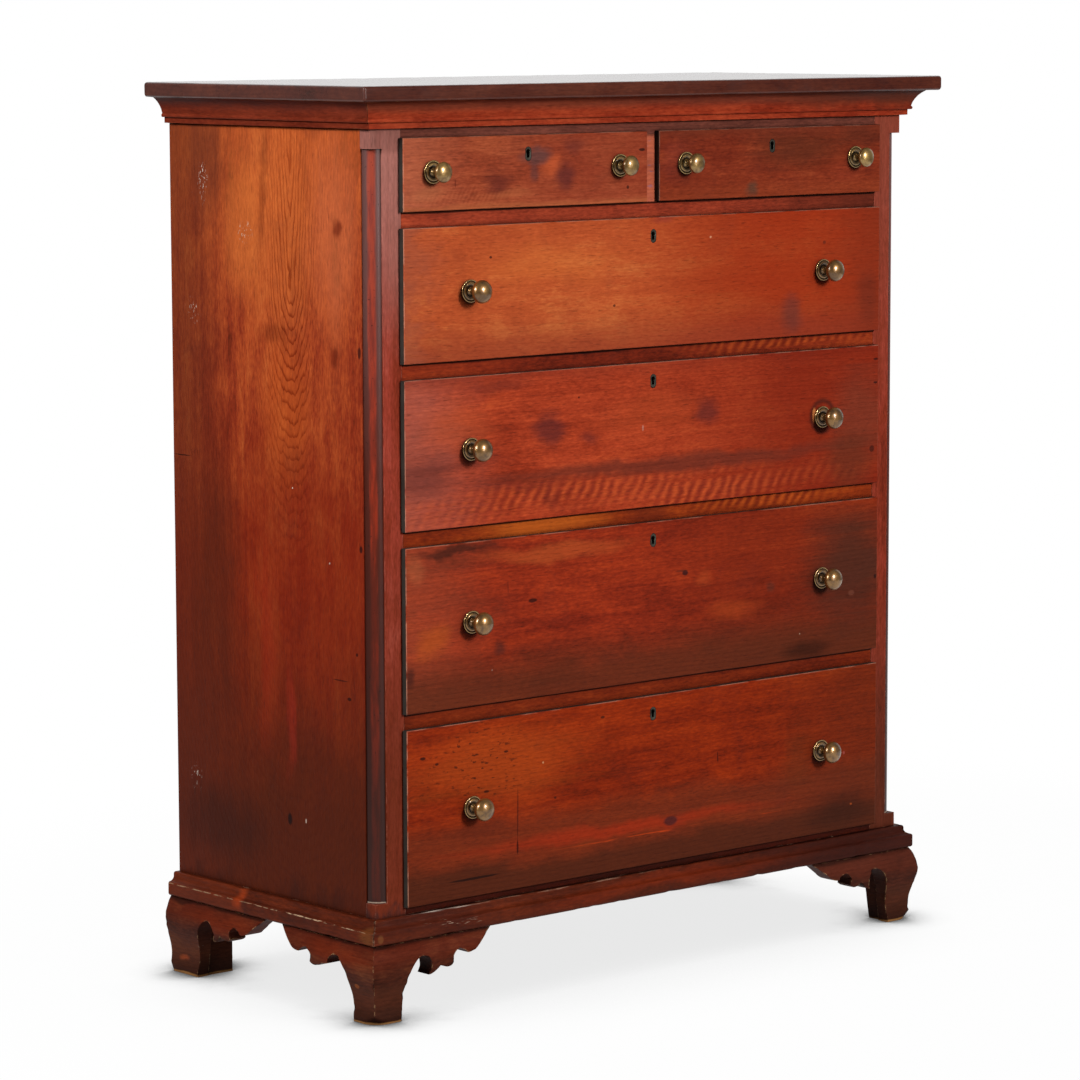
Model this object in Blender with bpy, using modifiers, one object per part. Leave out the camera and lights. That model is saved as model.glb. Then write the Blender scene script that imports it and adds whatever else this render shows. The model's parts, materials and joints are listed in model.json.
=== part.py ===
# Tall chest of drawers: two short drawers over four long ones, with a cove cornice,
# quarter columns let into the front corners, a moulded base and scroll-cut ogee bracket feet.
# Metres, +Z up, front towards -Y. The origin is on the floor, under the middle of the whole chest.
import math

import bmesh
import bpy
from mathutils import Vector
from mathutils.geometry import interpolate_bezier

# Clearances
GAP = 0.0003  # between pieces that touch
FRONT_CLEAR = 0.0010  # under a drawer front
TOP_CLEAR = 0.0015  # over the part of a drawer front inside the case
SIDE_CLEAR = 0.0012  # beside a drawer
DRAWER_HEAD = 0.0040  # over the sides of a drawer
DRAWER_TAIL = 0.0100  # behind a closed drawer
OVERRUN = 0.020  # how far a cutter goes beyond the piece that it cuts

# Case
CHEST_HEIGHT = 1.300
CASE_WIDTH = 1.032
CASE_DEPTH = 0.4575
SIDE_THICK = 0.020
BACK_THICK = 0.012
BACK_LAP = 0.010  # how far the back is let into each side
BACK_BOARDS = 3
BOARD_GROOVE = 0.0015
POST_WIDTH = 0.0539
POST_DEPTH = 0.045
DADO_DEPTH = 0.006
BLADE_THICK = 0.0245
BLADE_DEPTH = 0.050
DUST_THICK = 0.012
TENON_LENGTH = 0.012
TENON_DEPTH = 0.020
TENON_HEIGHT = 0.012
TENON_SET_BACK = 0.013
GUIDE_HEIGHT = 0.018
DIVIDER_THICK = 0.029
BOTTOM_THICK = 0.020
BOTTOM_RAIL_DEPTH = 0.025
BOTTOM_RAIL_SHOW = 0.009  # seen over the base moulding
ROW_SHARES = (0.2484, 0.2307, 0.2079, 0.1847, 0.0994)  # of the drawer rows, from the bottom up
TOP_RAIL_HEIGHT = 0.0530
TOP_THICK = 0.0217
TOP_OVERHANG = 0.0457
TOP_ROUND = 0.0045

# Quarter columns
RECESS = 0.0212
COLUMN_RADIUS = 0.0187
COLUMN_STEPS = 10
CAP_BLOCK = 0.0642
PLINTH_BLOCK = 0.0544

# Cornice: reach is measured out from the case, height down from the top board
COVE_TOP_REACH = 0.0285
COVE_FOOT_REACH = 0.0125
COVE_HEIGHT = 0.0235
COVE_BULGE = 0.20
BEAD_REACH = 0.0130
BEAD_HEIGHT = 0.0050
FILLET_REACH = 0.0088
FILLET_HEIGHT = 0.0085

# Base moulding
BASE_HEIGHT = 0.0344
BASE_REACH = 0.0208
BASE_FOOT_REACH = 0.0170
BASE_FASCIA = 0.0180
BASE_EDGE = 0.0038
BASE_CAP_REACH = 0.0108
BASE_CAP_HEIGHT = 0.0070
BASE_CAP_EDGE = 0.0034

# Ogee bracket feet: reach is measured out from the case, drop down from the top of the foot
FOOT_HEIGHT = 0.1125
FOOT_TOP_REACH = 0.0160
FOOT_BULGE_REACH = 0.0271
FOOT_BULGE_DROP = 0.0330
FOOT_ANKLE_REACH = 0.0157
FOOT_ANKLE_HEIGHT = 0.0290
FOOT_TOE_REACH = 0.0186
FOOT_TOE_HEIGHT = 0.0075
FOOT_SOLE_REACH = 0.0165
FOOT_INSIDE = 0.0020  # how far a bracket reaches in under the case
FRONT_BRACKET = 0.1965  # from the case corner to the tip of the scroll
SIDE_BRACKET = 0.1925
REAR_BRACKET = 0.2310
BLOCK_FOOT = 0.0265  # the glue block in a front foot, at the floor and at the top
BLOCK_TOP = 0.0360
REAR_BLOCK_WIDTH = 0.047
REAR_BLOCK_DEPTH = 0.040
REAR_BOARD_THICK = 0.024
REAR_BOARD_FOOT = 0.076
REAR_BOARD_RISE = 0.050
REAR_BOARD_TOP = 0.130
# The scroll, from its tip to the leg: distance back from the tip, drop, bulge of the arc before it.
# A positive bulge is hollow, a negative one is a rounded lobe.
SCROLL = (
    (0.0000, 0.0000, 0.0),
    (0.0345, 0.0258, 0.03),
    (0.0510, 0.0297, -0.20),
    (0.0660, 0.0213, 0.22),
    (0.0770, 0.0305, 0.22),
    (0.0752, 0.0405, 0.15),
    (0.0865, 0.0457, -0.25),
    (0.1000, 0.0409, -0.08),
    (0.1125, 0.0506, -0.08),
    (0.1203, 0.0520, -0.15),
    (0.1170, 0.0330, 0.22),
    (0.1310, 0.0220, 0.34),
    (0.1434, 0.0270, 0.20),
    (0.1559, 0.0472, 0.17),
    (0.1620, 0.0860, 0.03),
)
SCROLL_LEG_FOOT = 0.1652  # distance of the leg's inner edge from the scroll's tip at the floor
LEG_FOOT_HEIGHT = 0.0040  # the upright end of that edge
PENDANT = (8, 10)  # the scroll points of the long lobe beside the leg
# The left front foot has lost that lobe on its side, and these points stand in for it
WORN_PENDANT = (
    (0.1080, 0.0385, 0.10),
    (0.1165, 0.0372, -0.10),
)
SCROLL_STEPS = 4

# Drawers
PROUD = 0.0095
FRONT_THICK = 0.0225
LIP = 0.0030
FACE_EDGE = 0.0010
DRAWER_SIDE = 0.011
DRAWER_BACK_DROP = 0.006
TAIL_LENGTH = 0.010
TAIL_SLOPE = 0.20
TAIL_PITCH = 0.055
TAIL_SHARE = 0.30  # half a tail's width over its pitch
BOTTOM_RAISE = 0.010
GROOVE_DEPTH = 0.006
PANEL_EDGE = 0.005
PANEL_RISE = 0.005
PANEL_BEVEL = 0.030

# Locks and keyholes
LOCK_WIDTH = 0.060
LOCK_HEIGHT = 0.036
LOCK_THICK = 0.010
KEY_DROP = 0.027  # from the top edge of the drawer face
ESCUTCHEON_WIDTH = 0.0105
ESCUTCHEON_HEIGHT = 0.0195
KEYHOLE_HEIGHT = 0.0135
KEYHOLE_EYE = 0.0044
KEYHOLE_SLOT = 0.0030
KEYHOLE_DEPTH = 0.016

# Knobs
KNOB_RISE = 0.003  # over the middle of the drawer face
LONG_KNOB_INSET = 0.1165  # from the end of a long drawer's opening
SHORT_KNOB_INSET = 0.0500
ROSETTE_RADIUS = 0.0162
ROSETTE_THICK = 0.0026
NECK_RADIUS = 0.0040
SHANK_RADIUS = 0.0030
SHANK_CLEAR = 0.0005
NUT_RADIUS = 0.0065
NUT_THICK = 0.004
LONG_BALL = (0.0165, 0.0215, 0.0355)  # radius, thickness, reach from the drawer face
SHORT_BALL = (0.0146, 0.0150, 0.0300)
KNOB_SEGMENTS = 16
BALL_STEPS = 7

# Axes that outlines are drawn on: across the outline, up the outline, along the extrusion
AXIS_X = Vector((1.0, 0.0, 0.0))
AXIS_Y = Vector((0.0, 1.0, 0.0))
AXIS_Z = Vector((0.0, 0.0, 1.0))

# Sizes that follow from those above
half_width = CASE_WIDTH / 2
opening_half = half_width - POST_WIDTH
back_front = CASE_DEPTH - BACK_THICK
case_floor = FOOT_HEIGHT
base_top = case_floor + BASE_HEIGHT
first_runner = base_top + BOTTOM_RAIL_SHOW
case_top = CHEST_HEIGHT - TOP_THICK - GAP
rows_height = (
    case_top - TOP_RAIL_HEIGHT - first_runner - BLADE_THICK * (len(ROW_SHARES) - 1)
)
front_back = FRONT_THICK - PROUD
tail_root = front_back + GAP
tail_tip = front_back - TAIL_LENGTH
scroll_start = -FOOT_BULGE_REACH - OVERRUN


def clear_scene():
    for obj in list(bpy.data.objects):
        bpy.data.objects.remove(obj, do_unlink=True)


def new_collection(name):
    collection = bpy.data.collections.new(name)
    bpy.context.scene.collection.children.link(collection)
    return collection


clear_scene()
chest_parts = new_collection("tall_chest")
chest_cutters = new_collection("tall_chest_cutters")
chest_cutters.hide_render = True

# Everything hangs on this empty, so that y = 0 is the front of the case
chest = bpy.data.objects.new("chest", None)
chest.location = (0.0, (TOP_OVERHANG - CASE_DEPTH) / 2, 0.0)
chest_parts.objects.link(chest)


# Faces of one closed mesh are made to agree, then turned round if they all look inwards
def face_outwards(bm):
    bmesh.ops.recalc_face_normals(bm, faces=bm.faces)
    if bm.calc_volume(signed=True) < 0:
        bmesh.ops.reverse_faces(bm, faces=bm.faces)


def new_material(name, colour, roughness, metallic=0.0):
    material = bpy.data.materials.new(name)
    material.use_nodes = True
    shader = material.node_tree.nodes["Principled BSDF"]
    shader.inputs["Base Color"].default_value = (*colour, 1.0)
    shader.inputs["Roughness"].default_value = roughness
    shader.inputs["Metallic"].default_value = metallic
    material.diffuse_color = (*colour, 1.0)
    return material


case_wood = new_material("case_wood", (0.270, 0.060, 0.022), 0.32)
front_wood = new_material("drawer_front_wood", (0.320, 0.065, 0.020), 0.30)
dark_wood = new_material("dark_wood", (0.090, 0.024, 0.014), 0.34)
column_wood = new_material("column_wood", (0.055, 0.014, 0.012), 0.28)
inner_wood = new_material("inner_wood", (0.460, 0.300, 0.150), 0.62)
knob_brass = new_material("knob_brass", (0.420, 0.300, 0.150), 0.30, 1.0)
lock_metal = new_material("lock_metal", (0.160, 0.130, 0.090), 0.45, 1.0)


def add_piece(name, mesh, material, parent=chest, location=(0.0, 0.0, 0.0)):
    piece = bpy.data.objects.new(name, mesh)
    piece.location = location
    piece.parent = parent
    mesh.materials.clear()
    mesh.materials.append(material)
    chest_parts.objects.link(piece)
    return piece


def add_cutter(name, mesh, parent=chest, location=(0.0, 0.0, 0.0)):
    cutter = bpy.data.objects.new(name, mesh)
    cutter.location = location
    cutter.parent = parent
    cutter.hide_render = True
    cutter.display_type = "WIRE"
    chest_cutters.objects.link(cutter)
    return cutter


def combine(piece, tool, operation):
    modifier = piece.modifiers.new(f"{operation.lower()}_{tool.name}", "BOOLEAN")
    modifier.operation = operation
    modifier.solver = "EXACT"
    modifier.object = tool


def cut(piece, cutter):
    combine(piece, cutter, "DIFFERENCE")


def join(piece, other):
    combine(piece, other, "UNION")


def boxes_mesh(name, spans):
    bm = bmesh.new()
    for low, high in spans:
        size = Vector(high) - Vector(low)
        middle = (Vector(high) + Vector(low)) / 2
        corners = bmesh.ops.create_cube(bm, size=1.0)["verts"]
        bmesh.ops.scale(bm, vec=size, verts=corners)
        bmesh.ops.translate(bm, vec=middle, verts=corners)
    mesh = bpy.data.meshes.new(name)
    bm.to_mesh(mesh)
    bm.free()
    return mesh


def box_piece(name, low, high, material, parent=chest):
    low, high = Vector(low), Vector(high)
    middle = (low + high) / 2
    mesh = boxes_mesh(name, [(low - middle, high - middle)])
    return add_piece(name, mesh, material, parent, middle)


def box_cutter(name, spans, parent=chest):
    return add_cutter(name, boxes_mesh(name, spans), parent)


# A closed outline, or one with holes, drawn as a flat filled curve and given thickness.
# Each end can lean with the outline's first coordinate, which makes a mitre.
def outline_mesh(name, loops, axes, start, end, lean=(0.0, 0.0)):
    curve = bpy.data.curves.new(name, "CURVE")
    curve.dimensions = "2D"
    curve.fill_mode = "BOTH"
    curve.extrude = 0.5
    for loop in loops:
        spline = curve.splines.new("POLY")
        spline.points.add(len(loop) - 1)
        for point, (across, up) in zip(spline.points, loop):
            point.co = (across, up, 0.0, 1.0)
        spline.use_cyclic_u = True
    guide = bpy.data.objects.new(name, curve)
    chest_cutters.objects.link(guide)
    graph = bpy.context.evaluated_depsgraph_get()
    mesh = bpy.data.meshes.new_from_object(guide.evaluated_get(graph))
    bpy.data.objects.remove(guide)
    bpy.data.curves.remove(curve)
    bm = bmesh.new()
    bm.from_mesh(mesh)
    bmesh.ops.remove_doubles(bm, verts=bm.verts, dist=1e-6)
    for vert in bm.verts:
        across, up, side = vert.co
        along = end + lean[1] * across if side > 0 else start + lean[0] * across
        vert.co = axes[0] * across + axes[1] * up + axes[2] * along
    face_outwards(bm)
    bm.to_mesh(mesh)
    bm.free()
    return mesh


# Points after the first on a round stretch from one point to the next.
# The bulge is its height over half its chord, and a positive one lies to the right.
def arc_points(start, end, bulge, steps):
    if abs(bulge) < 1e-6:
        return [end]
    start, end = Vector(start), Vector(end)
    chord = end - start
    normal = Vector((chord.y, -chord.x))
    turn = 4 * math.atan(bulge)
    centre = (start + end) / 2 - normal / 2 / math.tan(turn / 2)
    arm = start - centre
    points = []
    for step in range(1, steps + 1):
        angle = turn * step / steps
        cos, sin = math.cos(angle), math.sin(angle)
        points.append(
            (centre.x + arm.x * cos - arm.y * sin, centre.y + arm.x * sin + arm.y * cos)
        )
    return points


def arc_chain(knots, steps):
    points = [knots[0][:2]]
    for across, up, bulge in knots[1:]:
        points += arc_points(points[-1], (across, up), bulge, steps)
    return points


# A smooth line through knots, each a point and the direction and strength of the line there
def smooth_chain(knots, steps):
    points = [Vector(knots[0][0])]
    for (start, leave), (end, arrive) in zip(knots, knots[1:]):
        start, end = Vector(start), Vector(end)
        handles = (start, start + Vector(leave), end - Vector(arrive), end)
        points += interpolate_bezier(*handles, steps + 1)[1:]
    return [(point.x, point.y) for point in points]


def row_levels():
    levels = []
    runner = first_runner
    for share in ROW_SHARES:
        ceiling = runner + rows_height * share / sum(ROW_SHARES)
        levels.append((runner, ceiling))
        runner = ceiling + BLADE_THICK
    return levels


rows = row_levels()


def make_top():
    overlap = half_width + TOP_OVERHANG
    top = box_piece(
        "top_board",
        (-overlap, -TOP_OVERHANG, case_top + GAP),
        (overlap, CASE_DEPTH, case_top + GAP + TOP_THICK),
        case_wood,
    )
    edges = top.modifiers.new("rounded_edges", "BEVEL")
    edges.width = TOP_ROUND
    edges.segments = 3


# The heights at which boards are let into the sides: bottom board, then the dust boards
def housed_boards():
    boards = [(rows[0][0] - BOTTOM_THICK, rows[0][0])]
    for runner, _ in rows[1:]:
        boards.append((runner - DUST_THICK, runner))
    return boards


def make_side(hand, name):
    outer = hand * half_width
    inner = hand * (half_width - SIDE_THICK)
    side = box_piece(
        name,
        (min(outer, inner), RECESS, case_floor),
        (max(outer, inner), CASE_DEPTH, case_top),
        case_wood,
    )
    # Strips that fill in behind the corner post and keep the drawers straight
    guide_inner = hand * (half_width - POST_WIDTH)
    root = hand * (half_width - SIDE_THICK / 2)
    for number, (runner, _) in enumerate(rows, 1):
        guide = box_cutter(
            f"{name}_guide_{number}",
            [
                (
                    (min(guide_inner, root), POST_DEPTH + GAP, runner + GAP),
                    (max(guide_inner, root), back_front - GAP, runner + GUIDE_HEIGHT),
                )
            ],
        )
        join(side, guide)
    dado_inner = hand * (half_width - SIDE_THICK + DADO_DEPTH)
    beyond = hand * (half_width - POST_WIDTH - SIDE_THICK)
    dados = [
        (
            (min(dado_inner, beyond), POST_DEPTH, low - GAP),
            (max(dado_inner, beyond), back_front + GAP, high + GAP),
        )
        for low, high in housed_boards()
    ]
    cut(side, box_cutter(f"{name}_dados", dados))
    lap = hand * (half_width - SIDE_THICK + BACK_LAP + GAP)
    rabbet = [
        (
            (min(lap, beyond), back_front - GAP, case_floor - OVERRUN),
            (max(lap, beyond), CASE_DEPTH + OVERRUN, case_top + OVERRUN),
        )
    ]
    cut(side, box_cutter(f"{name}_rabbet", rabbet))


def make_back():
    reach = half_width - SIDE_THICK + BACK_LAP
    back = box_piece(
        "back_panel",
        (-reach, back_front, case_floor),
        (reach, CASE_DEPTH, case_top),
        inner_wood,
    )
    grooves = []
    for board in range(1, BACK_BOARDS):
        level = case_floor + (case_top - case_floor) * board / BACK_BOARDS
        low = (-reach - OVERRUN, CASE_DEPTH - BACK_THICK / 3, level - BOARD_GROOVE / 2)
        high = (reach + OVERRUN, CASE_DEPTH + OVERRUN, level + BOARD_GROOVE / 2)
        grooves.append((low, high))
    cut(back, box_cutter("back_panel_grooves", grooves))


# Middle heights of the tenons: bottom rail, blades, top rail
def tenon_levels():
    levels = [(case_floor + rows[0][0]) / 2]
    levels += [runner - BLADE_THICK / 2 for runner, _ in rows[1:]]
    levels.append(case_top - TOP_RAIL_HEIGHT / 2)
    return levels


def tenon_span(level, hand, slack):
    shoulder = hand * (opening_half - 2 * GAP)
    tip = hand * (opening_half + TENON_LENGTH + slack)
    half = TENON_HEIGHT / 2 + slack
    front = TENON_SET_BACK - slack
    return (
        (min(shoulder, tip), front, level - half),
        (max(shoulder, tip), TENON_SET_BACK + TENON_DEPTH + slack, level + half),
    )


def make_corner_post(hand, name):
    outer = hand * half_width
    inner = hand * opening_half
    post = box_piece(
        name,
        (min(outer, inner), 0.0, case_floor),
        (max(outer, inner), POST_DEPTH, case_top),
        case_wood,
    )
    beyond = hand * (half_width + OVERRUN)
    recess_inner = hand * (half_width - RECESS)
    recess = [
        (
            (min(beyond, recess_inner), -OVERRUN, case_floor + PLINTH_BLOCK),
            (max(beyond, recess_inner), RECESS + 0.0005, case_top - CAP_BLOCK),
        )
    ]
    cut(post, box_cutter(f"{name}_recess", recess))
    side_inner = hand * (half_width - SIDE_THICK - GAP)
    behind = [
        (
            (min(beyond, side_inner), RECESS - GAP, case_floor - OVERRUN),
            (max(beyond, side_inner), POST_DEPTH + OVERRUN, case_top + OVERRUN),
        )
    ]
    cut(post, box_cutter(f"{name}_side_seat", behind))
    mortises = [tenon_span(level, hand, GAP) for level in tenon_levels()]
    cut(post, box_cutter(f"{name}_mortises", mortises))


def make_quarter_column(hand, name):
    start = math.asin(GAP / COLUMN_RADIUS)
    outline = [(GAP, GAP)]
    for step in range(COLUMN_STEPS + 1):
        angle = start + (math.pi / 2 - 2 * start) * step / COLUMN_STEPS
        outline.append((COLUMN_RADIUS * math.cos(angle), COLUMN_RADIUS * math.sin(angle)))
    low = case_floor + PLINTH_BLOCK + GAP
    high = case_top - CAP_BLOCK - GAP
    axes = (AXIS_X * hand, -AXIS_Y, AXIS_Z)
    mesh = outline_mesh(name, [outline], axes, 0.0, high - low)
    seat = (hand * (half_width - RECESS), RECESS, low)
    column = add_piece(name, mesh, column_wood, chest, seat)
    for face in column.data.polygons:
        face.use_smooth = abs(face.normal.x) > 0.01 and abs(face.normal.y) > 0.01


# A moulding's straight length on the front or on one side of the case, mitred at the front corners
def make_moulding(name, outline, material, hand):
    ease = GAP * 0.75
    if hand == 0:
        axes = (-AXIS_Y, AXIS_Z, AXIS_X)
        mesh = outline_mesh(
            name, [outline], axes, ease - half_width, half_width - ease, (-1.0, 1.0)
        )
        return add_piece(name, mesh, material)
    axes = (AXIS_X * hand, AXIS_Z, AXIS_Y)
    mesh = outline_mesh(name, [outline], axes, ease, CASE_DEPTH, (-1.0, 0.0))
    return add_piece(name, mesh, material, chest, (hand * half_width, 0.0, 0.0))


def cornice_outline():
    cove_foot = case_top - COVE_HEIGHT
    bead_foot = cove_foot - BEAD_HEIGHT
    foot = bead_foot - FILLET_HEIGHT
    knots = [
        (GAP, foot, 0.0),
        (FILLET_REACH, foot, 0.0),
        (FILLET_REACH, bead_foot, 0.0),
        (BEAD_REACH, bead_foot, 0.0),
        (BEAD_REACH, cove_foot, 0.45),
        (COVE_FOOT_REACH, cove_foot + GAP, 0.0),
        (COVE_TOP_REACH, case_top, -COVE_BULGE),
        (GAP, case_top, 0.0),
    ]
    return arc_chain(knots, 5)


def base_outline():
    low = case_floor
    cap_foot = base_top - BASE_CAP_HEIGHT
    knots = [
        (GAP, low, 0.0),
        (BASE_FOOT_REACH, low, 0.0),
        (BASE_REACH, low + BASE_EDGE, 0.35),
        (BASE_REACH, low + BASE_FASCIA, 0.0),
        (BASE_REACH - BASE_EDGE, low + BASE_FASCIA + BASE_EDGE * 0.8, 0.38),
        (BASE_CAP_REACH, cap_foot, -0.30),
        (BASE_CAP_REACH, base_top - BASE_CAP_EDGE, 0.0),
        (BASE_CAP_REACH - BASE_CAP_EDGE, base_top, 0.40),
        (GAP, base_top, 0.0),
    ]
    return arc_chain(knots, 4)


# The foot's section: the double curve outside, and a flat face inside
def ogee_outline():
    top = FOOT_HEIGHT - GAP
    knots = (
        ((FOOT_TOP_REACH, top), (0.008, -0.012)),
        ((FOOT_BULGE_REACH, FOOT_HEIGHT - FOOT_BULGE_DROP), (0.0, -0.013)),
        ((FOOT_ANKLE_REACH, FOOT_ANKLE_HEIGHT), (0.0, -0.014)),
        ((FOOT_TOE_REACH, FOOT_TOE_HEIGHT), (0.0, -0.005)),
        ((FOOT_SOLE_REACH, 0.0), (-0.003, 0.0)),
    )
    outside = smooth_chain(knots, 5)
    return outside + [(-FOOT_INSIDE, 0.0), (-FOOT_INSIDE, top)]


# The open space under a bracket, from the tip of its scroll to the leg
def scroll_outline(length, worn=False):
    first, last = PENDANT
    scroll = SCROLL[:first] + WORN_PENDANT + SCROLL[last:] if worn else SCROLL
    knots = [
        (length - back, FOOT_HEIGHT - drop + GAP, bulge) for back, drop, bulge in scroll
    ]
    points = arc_chain(knots, SCROLL_STEPS)
    leg_foot = length - SCROLL_LEG_FOOT
    beyond = length + OVERRUN
    return (
        [(beyond, FOOT_HEIGHT + OVERRUN), (length, FOOT_HEIGHT + OVERRUN)]
        + points
        + [(leg_foot, LEG_FOOT_HEIGHT), (leg_foot, -OVERRUN), (beyond, -OVERRUN)]
    )


# Two brackets in one sweep: along the front, round the mitred corner and back along the side
def swept_corner_mesh(name, hand, outline):
    bm = bmesh.new()
    free_end = hand * (half_width - FRONT_BRACKET)
    rings = []
    for station in ("front end", "corner", "side end"):
        ring = []
        for reach, height in outline:
            across = free_end if station == "front end" else hand * (half_width + reach)
            along = SIDE_BRACKET if station == "side end" else -reach
            ring.append(bm.verts.new((across, along, height)))
        rings.append(ring)
    count = len(outline)
    for ring, following in zip(rings, rings[1:]):
        for index in range(count):
            beside = (index + 1) % count
            bm.faces.new((ring[index], ring[beside], following[beside], following[index]))
    bm.faces.new(rings[0])
    bm.faces.new(rings[-1])
    face_outwards(bm)
    mesh = bpy.data.meshes.new(name)
    bm.to_mesh(mesh)
    bm.free()
    return mesh


# A block in the corner of a foot, wider at the top than at the floor
def corner_block(name, hand, foot_side, top_side):
    bm = bmesh.new()
    corners = bmesh.ops.create_cube(bm, size=1.0)["verts"]
    for vert in corners:
        side = top_side if vert.co.z > 0 else foot_side
        in_from_side = side if vert.co.x < 0 else -FOOT_INSIDE / 2
        in_from_front = side if vert.co.y > 0 else -FOOT_INSIDE / 2
        height = FOOT_HEIGHT - 2 * GAP if vert.co.z > 0 else 0.0
        vert.co = (hand * (half_width - in_from_side), in_from_front, height)
    face_outwards(bm)
    mesh = bpy.data.meshes.new(name)
    bm.to_mesh(mesh)
    bm.free()
    return add_cutter(name, mesh)


def make_front_foot(hand, name):
    foot = add_piece(name, swept_corner_mesh(name, hand, ogee_outline()), dark_wood)
    inside = FOOT_INSIDE + OVERRUN
    front_axes = (-AXIS_X * hand, AXIS_Z, AXIS_Y)
    front_scroll = scroll_outline(FRONT_BRACKET)
    front = outline_mesh(f"{name}_front_scroll", [front_scroll], front_axes, scroll_start, inside)
    seat = (hand * half_width, 0.0, 0.0)
    cut(foot, add_cutter(f"{name}_front_scroll", front, chest, seat))
    side_axes = (AXIS_Y, AXIS_Z, -AXIS_X * hand)
    side_scroll = scroll_outline(SIDE_BRACKET, worn=hand < 0)
    side = outline_mesh(f"{name}_side_scroll", [side_scroll], side_axes, scroll_start, inside)
    cut(foot, add_cutter(f"{name}_side_scroll", side, chest, seat))
    join(foot, corner_block(f"{name}_block", hand, BLOCK_FOOT, BLOCK_TOP))


def make_rear_foot(hand, name):
    axes = (AXIS_X * hand, AXIS_Z, AXIS_Y)
    start = CASE_DEPTH - REAR_BRACKET
    mesh = outline_mesh(name, [ogee_outline()], axes, start, CASE_DEPTH)
    seat = (hand * half_width, 0.0, 0.0)
    foot = add_piece(name, mesh, dark_wood, chest, seat)
    side_scroll = scroll_outline(REAR_BRACKET)
    side_axes = (-AXIS_Y, AXIS_Z, -AXIS_X * hand)
    inside = FOOT_INSIDE + OVERRUN
    side = outline_mesh(f"{name}_scroll", [side_scroll], side_axes, scroll_start, inside)
    corner = (hand * half_width, CASE_DEPTH, 0.0)
    cut(foot, add_cutter(f"{name}_scroll", side, chest, corner))
    top = FOOT_HEIGHT - 2 * GAP
    knots = [
        (-FOOT_INSIDE / 2, 0.0, 0.0),
        (REAR_BOARD_FOOT, 0.0, 0.0),
        (REAR_BOARD_FOOT, REAR_BOARD_RISE, 0.0),
        (REAR_BOARD_TOP, top - 0.010, -0.25),
        (REAR_BOARD_TOP, top, 0.0),
        (-FOOT_INSIDE / 2, top, 0.0),
    ]
    board_axes = (-AXIS_X * hand, AXIS_Z, AXIS_Y)
    board_front = CASE_DEPTH - REAR_BOARD_THICK
    board_back = CASE_DEPTH - 0.001
    board = outline_mesh(
        f"{name}_board", [arc_chain(knots, 6)], board_axes, board_front, board_back
    )
    join(foot, add_cutter(f"{name}_board", board, chest, seat))
    near = hand * (half_width + FOOT_INSIDE / 2)
    far = hand * (half_width - REAR_BLOCK_WIDTH)
    block = [
        (
            (min(near, far), board_front - REAR_BLOCK_DEPTH, 0.0),
            (max(near, far), board_front + 0.004, top - 0.0002),
        )
    ]
    join(foot, box_cutter(f"{name}_block", block))


# A rail across the front with a tenon at each end
def rail_with_tenons(name, low, high, depth, level):
    reach = opening_half - GAP
    rail = box_piece(name, (-reach, 0.0, low), (reach, depth, high), case_wood)
    for hand, end in ((-1, "left"), (1, "right")):
        tenon = box_cutter(f"{name}_tenon_{end}", [tenon_span(level, hand, 0.0)])
        join(rail, tenon)
    return rail


def make_dust_boards():
    levels = tenon_levels()
    reach = half_width - SIDE_THICK + DADO_DEPTH - GAP
    for number, (runner, _) in enumerate(rows[1:], 1):
        name = f"dust_board_{number}"
        blade = rail_with_tenons(
            name, runner - BLADE_THICK, runner, BLADE_DEPTH, levels[number]
        )
        board = box_cutter(
            f"{name}_board",
            [
                (
                    (-reach, POST_DEPTH + GAP, runner - DUST_THICK),
                    (reach, back_front - GAP, runner),
                )
            ],
        )
        join(blade, board)


def make_case_bottom():
    runner = rows[0][0]
    bottom = rail_with_tenons(
        "case_bottom", case_floor, runner, BOTTOM_RAIL_DEPTH, tenon_levels()[0]
    )
    narrow = opening_half - GAP
    front_part = [
        (
            (-narrow, BOTTOM_RAIL_DEPTH - 0.002, runner - BOTTOM_THICK),
            (narrow, POST_DEPTH + 0.004, runner),
        )
    ]
    join(bottom, box_cutter("case_bottom_front", front_part))
    reach = half_width - SIDE_THICK + DADO_DEPTH - GAP
    board = [
        (
            (-reach, POST_DEPTH + GAP, runner - BOTTOM_THICK),
            (reach, back_front - GAP, runner),
        )
    ]
    join(bottom, box_cutter("case_bottom_board", board))


def make_top_rail():
    runner, ceiling = rows[-1]
    rail = rail_with_tenons(
        "top_rail_and_divider", ceiling, case_top, POST_DEPTH, tenon_levels()[-1]
    )
    half = DIVIDER_THICK / 2
    divider = [
        ((-half, 0.0, runner + GAP), (half, POST_DEPTH, ceiling + 0.002)),
    ]
    join(rail, box_cutter("divider_front", divider))
    guide = [
        (
            (-half, POST_DEPTH - 0.004, runner + GAP),
            (half, back_front - GAP, runner + GUIDE_HEIGHT),
        )
    ]
    join(rail, box_cutter("divider_guide", guide))


def stadium(width, height):
    radius = width / 2
    rise = height / 2 - radius
    knots = [
        (radius, -rise, 0.0),
        (radius, rise, 0.0),
        (-radius, rise, 1.0),
        (-radius, -rise, 0.0),
        (radius, -rise, 1.0),
    ]
    return arc_chain(knots, 8)[:-1]


def keyhole_outline():
    eye = KEYHOLE_EYE / 2
    slot = KEYHOLE_SLOT / 2
    top = KEYHOLE_HEIGHT / 2
    neck = top - eye - math.sqrt(eye * eye - slot * slot)
    foot = -top
    knots = [
        (slot, foot, 0.0),
        (slot, neck, 0.0),
        (0.0, top, 0.80),
        (-slot, neck, 0.80),
        (-slot, foot, 0.0),
    ]
    return arc_chain(knots, 5)


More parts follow.
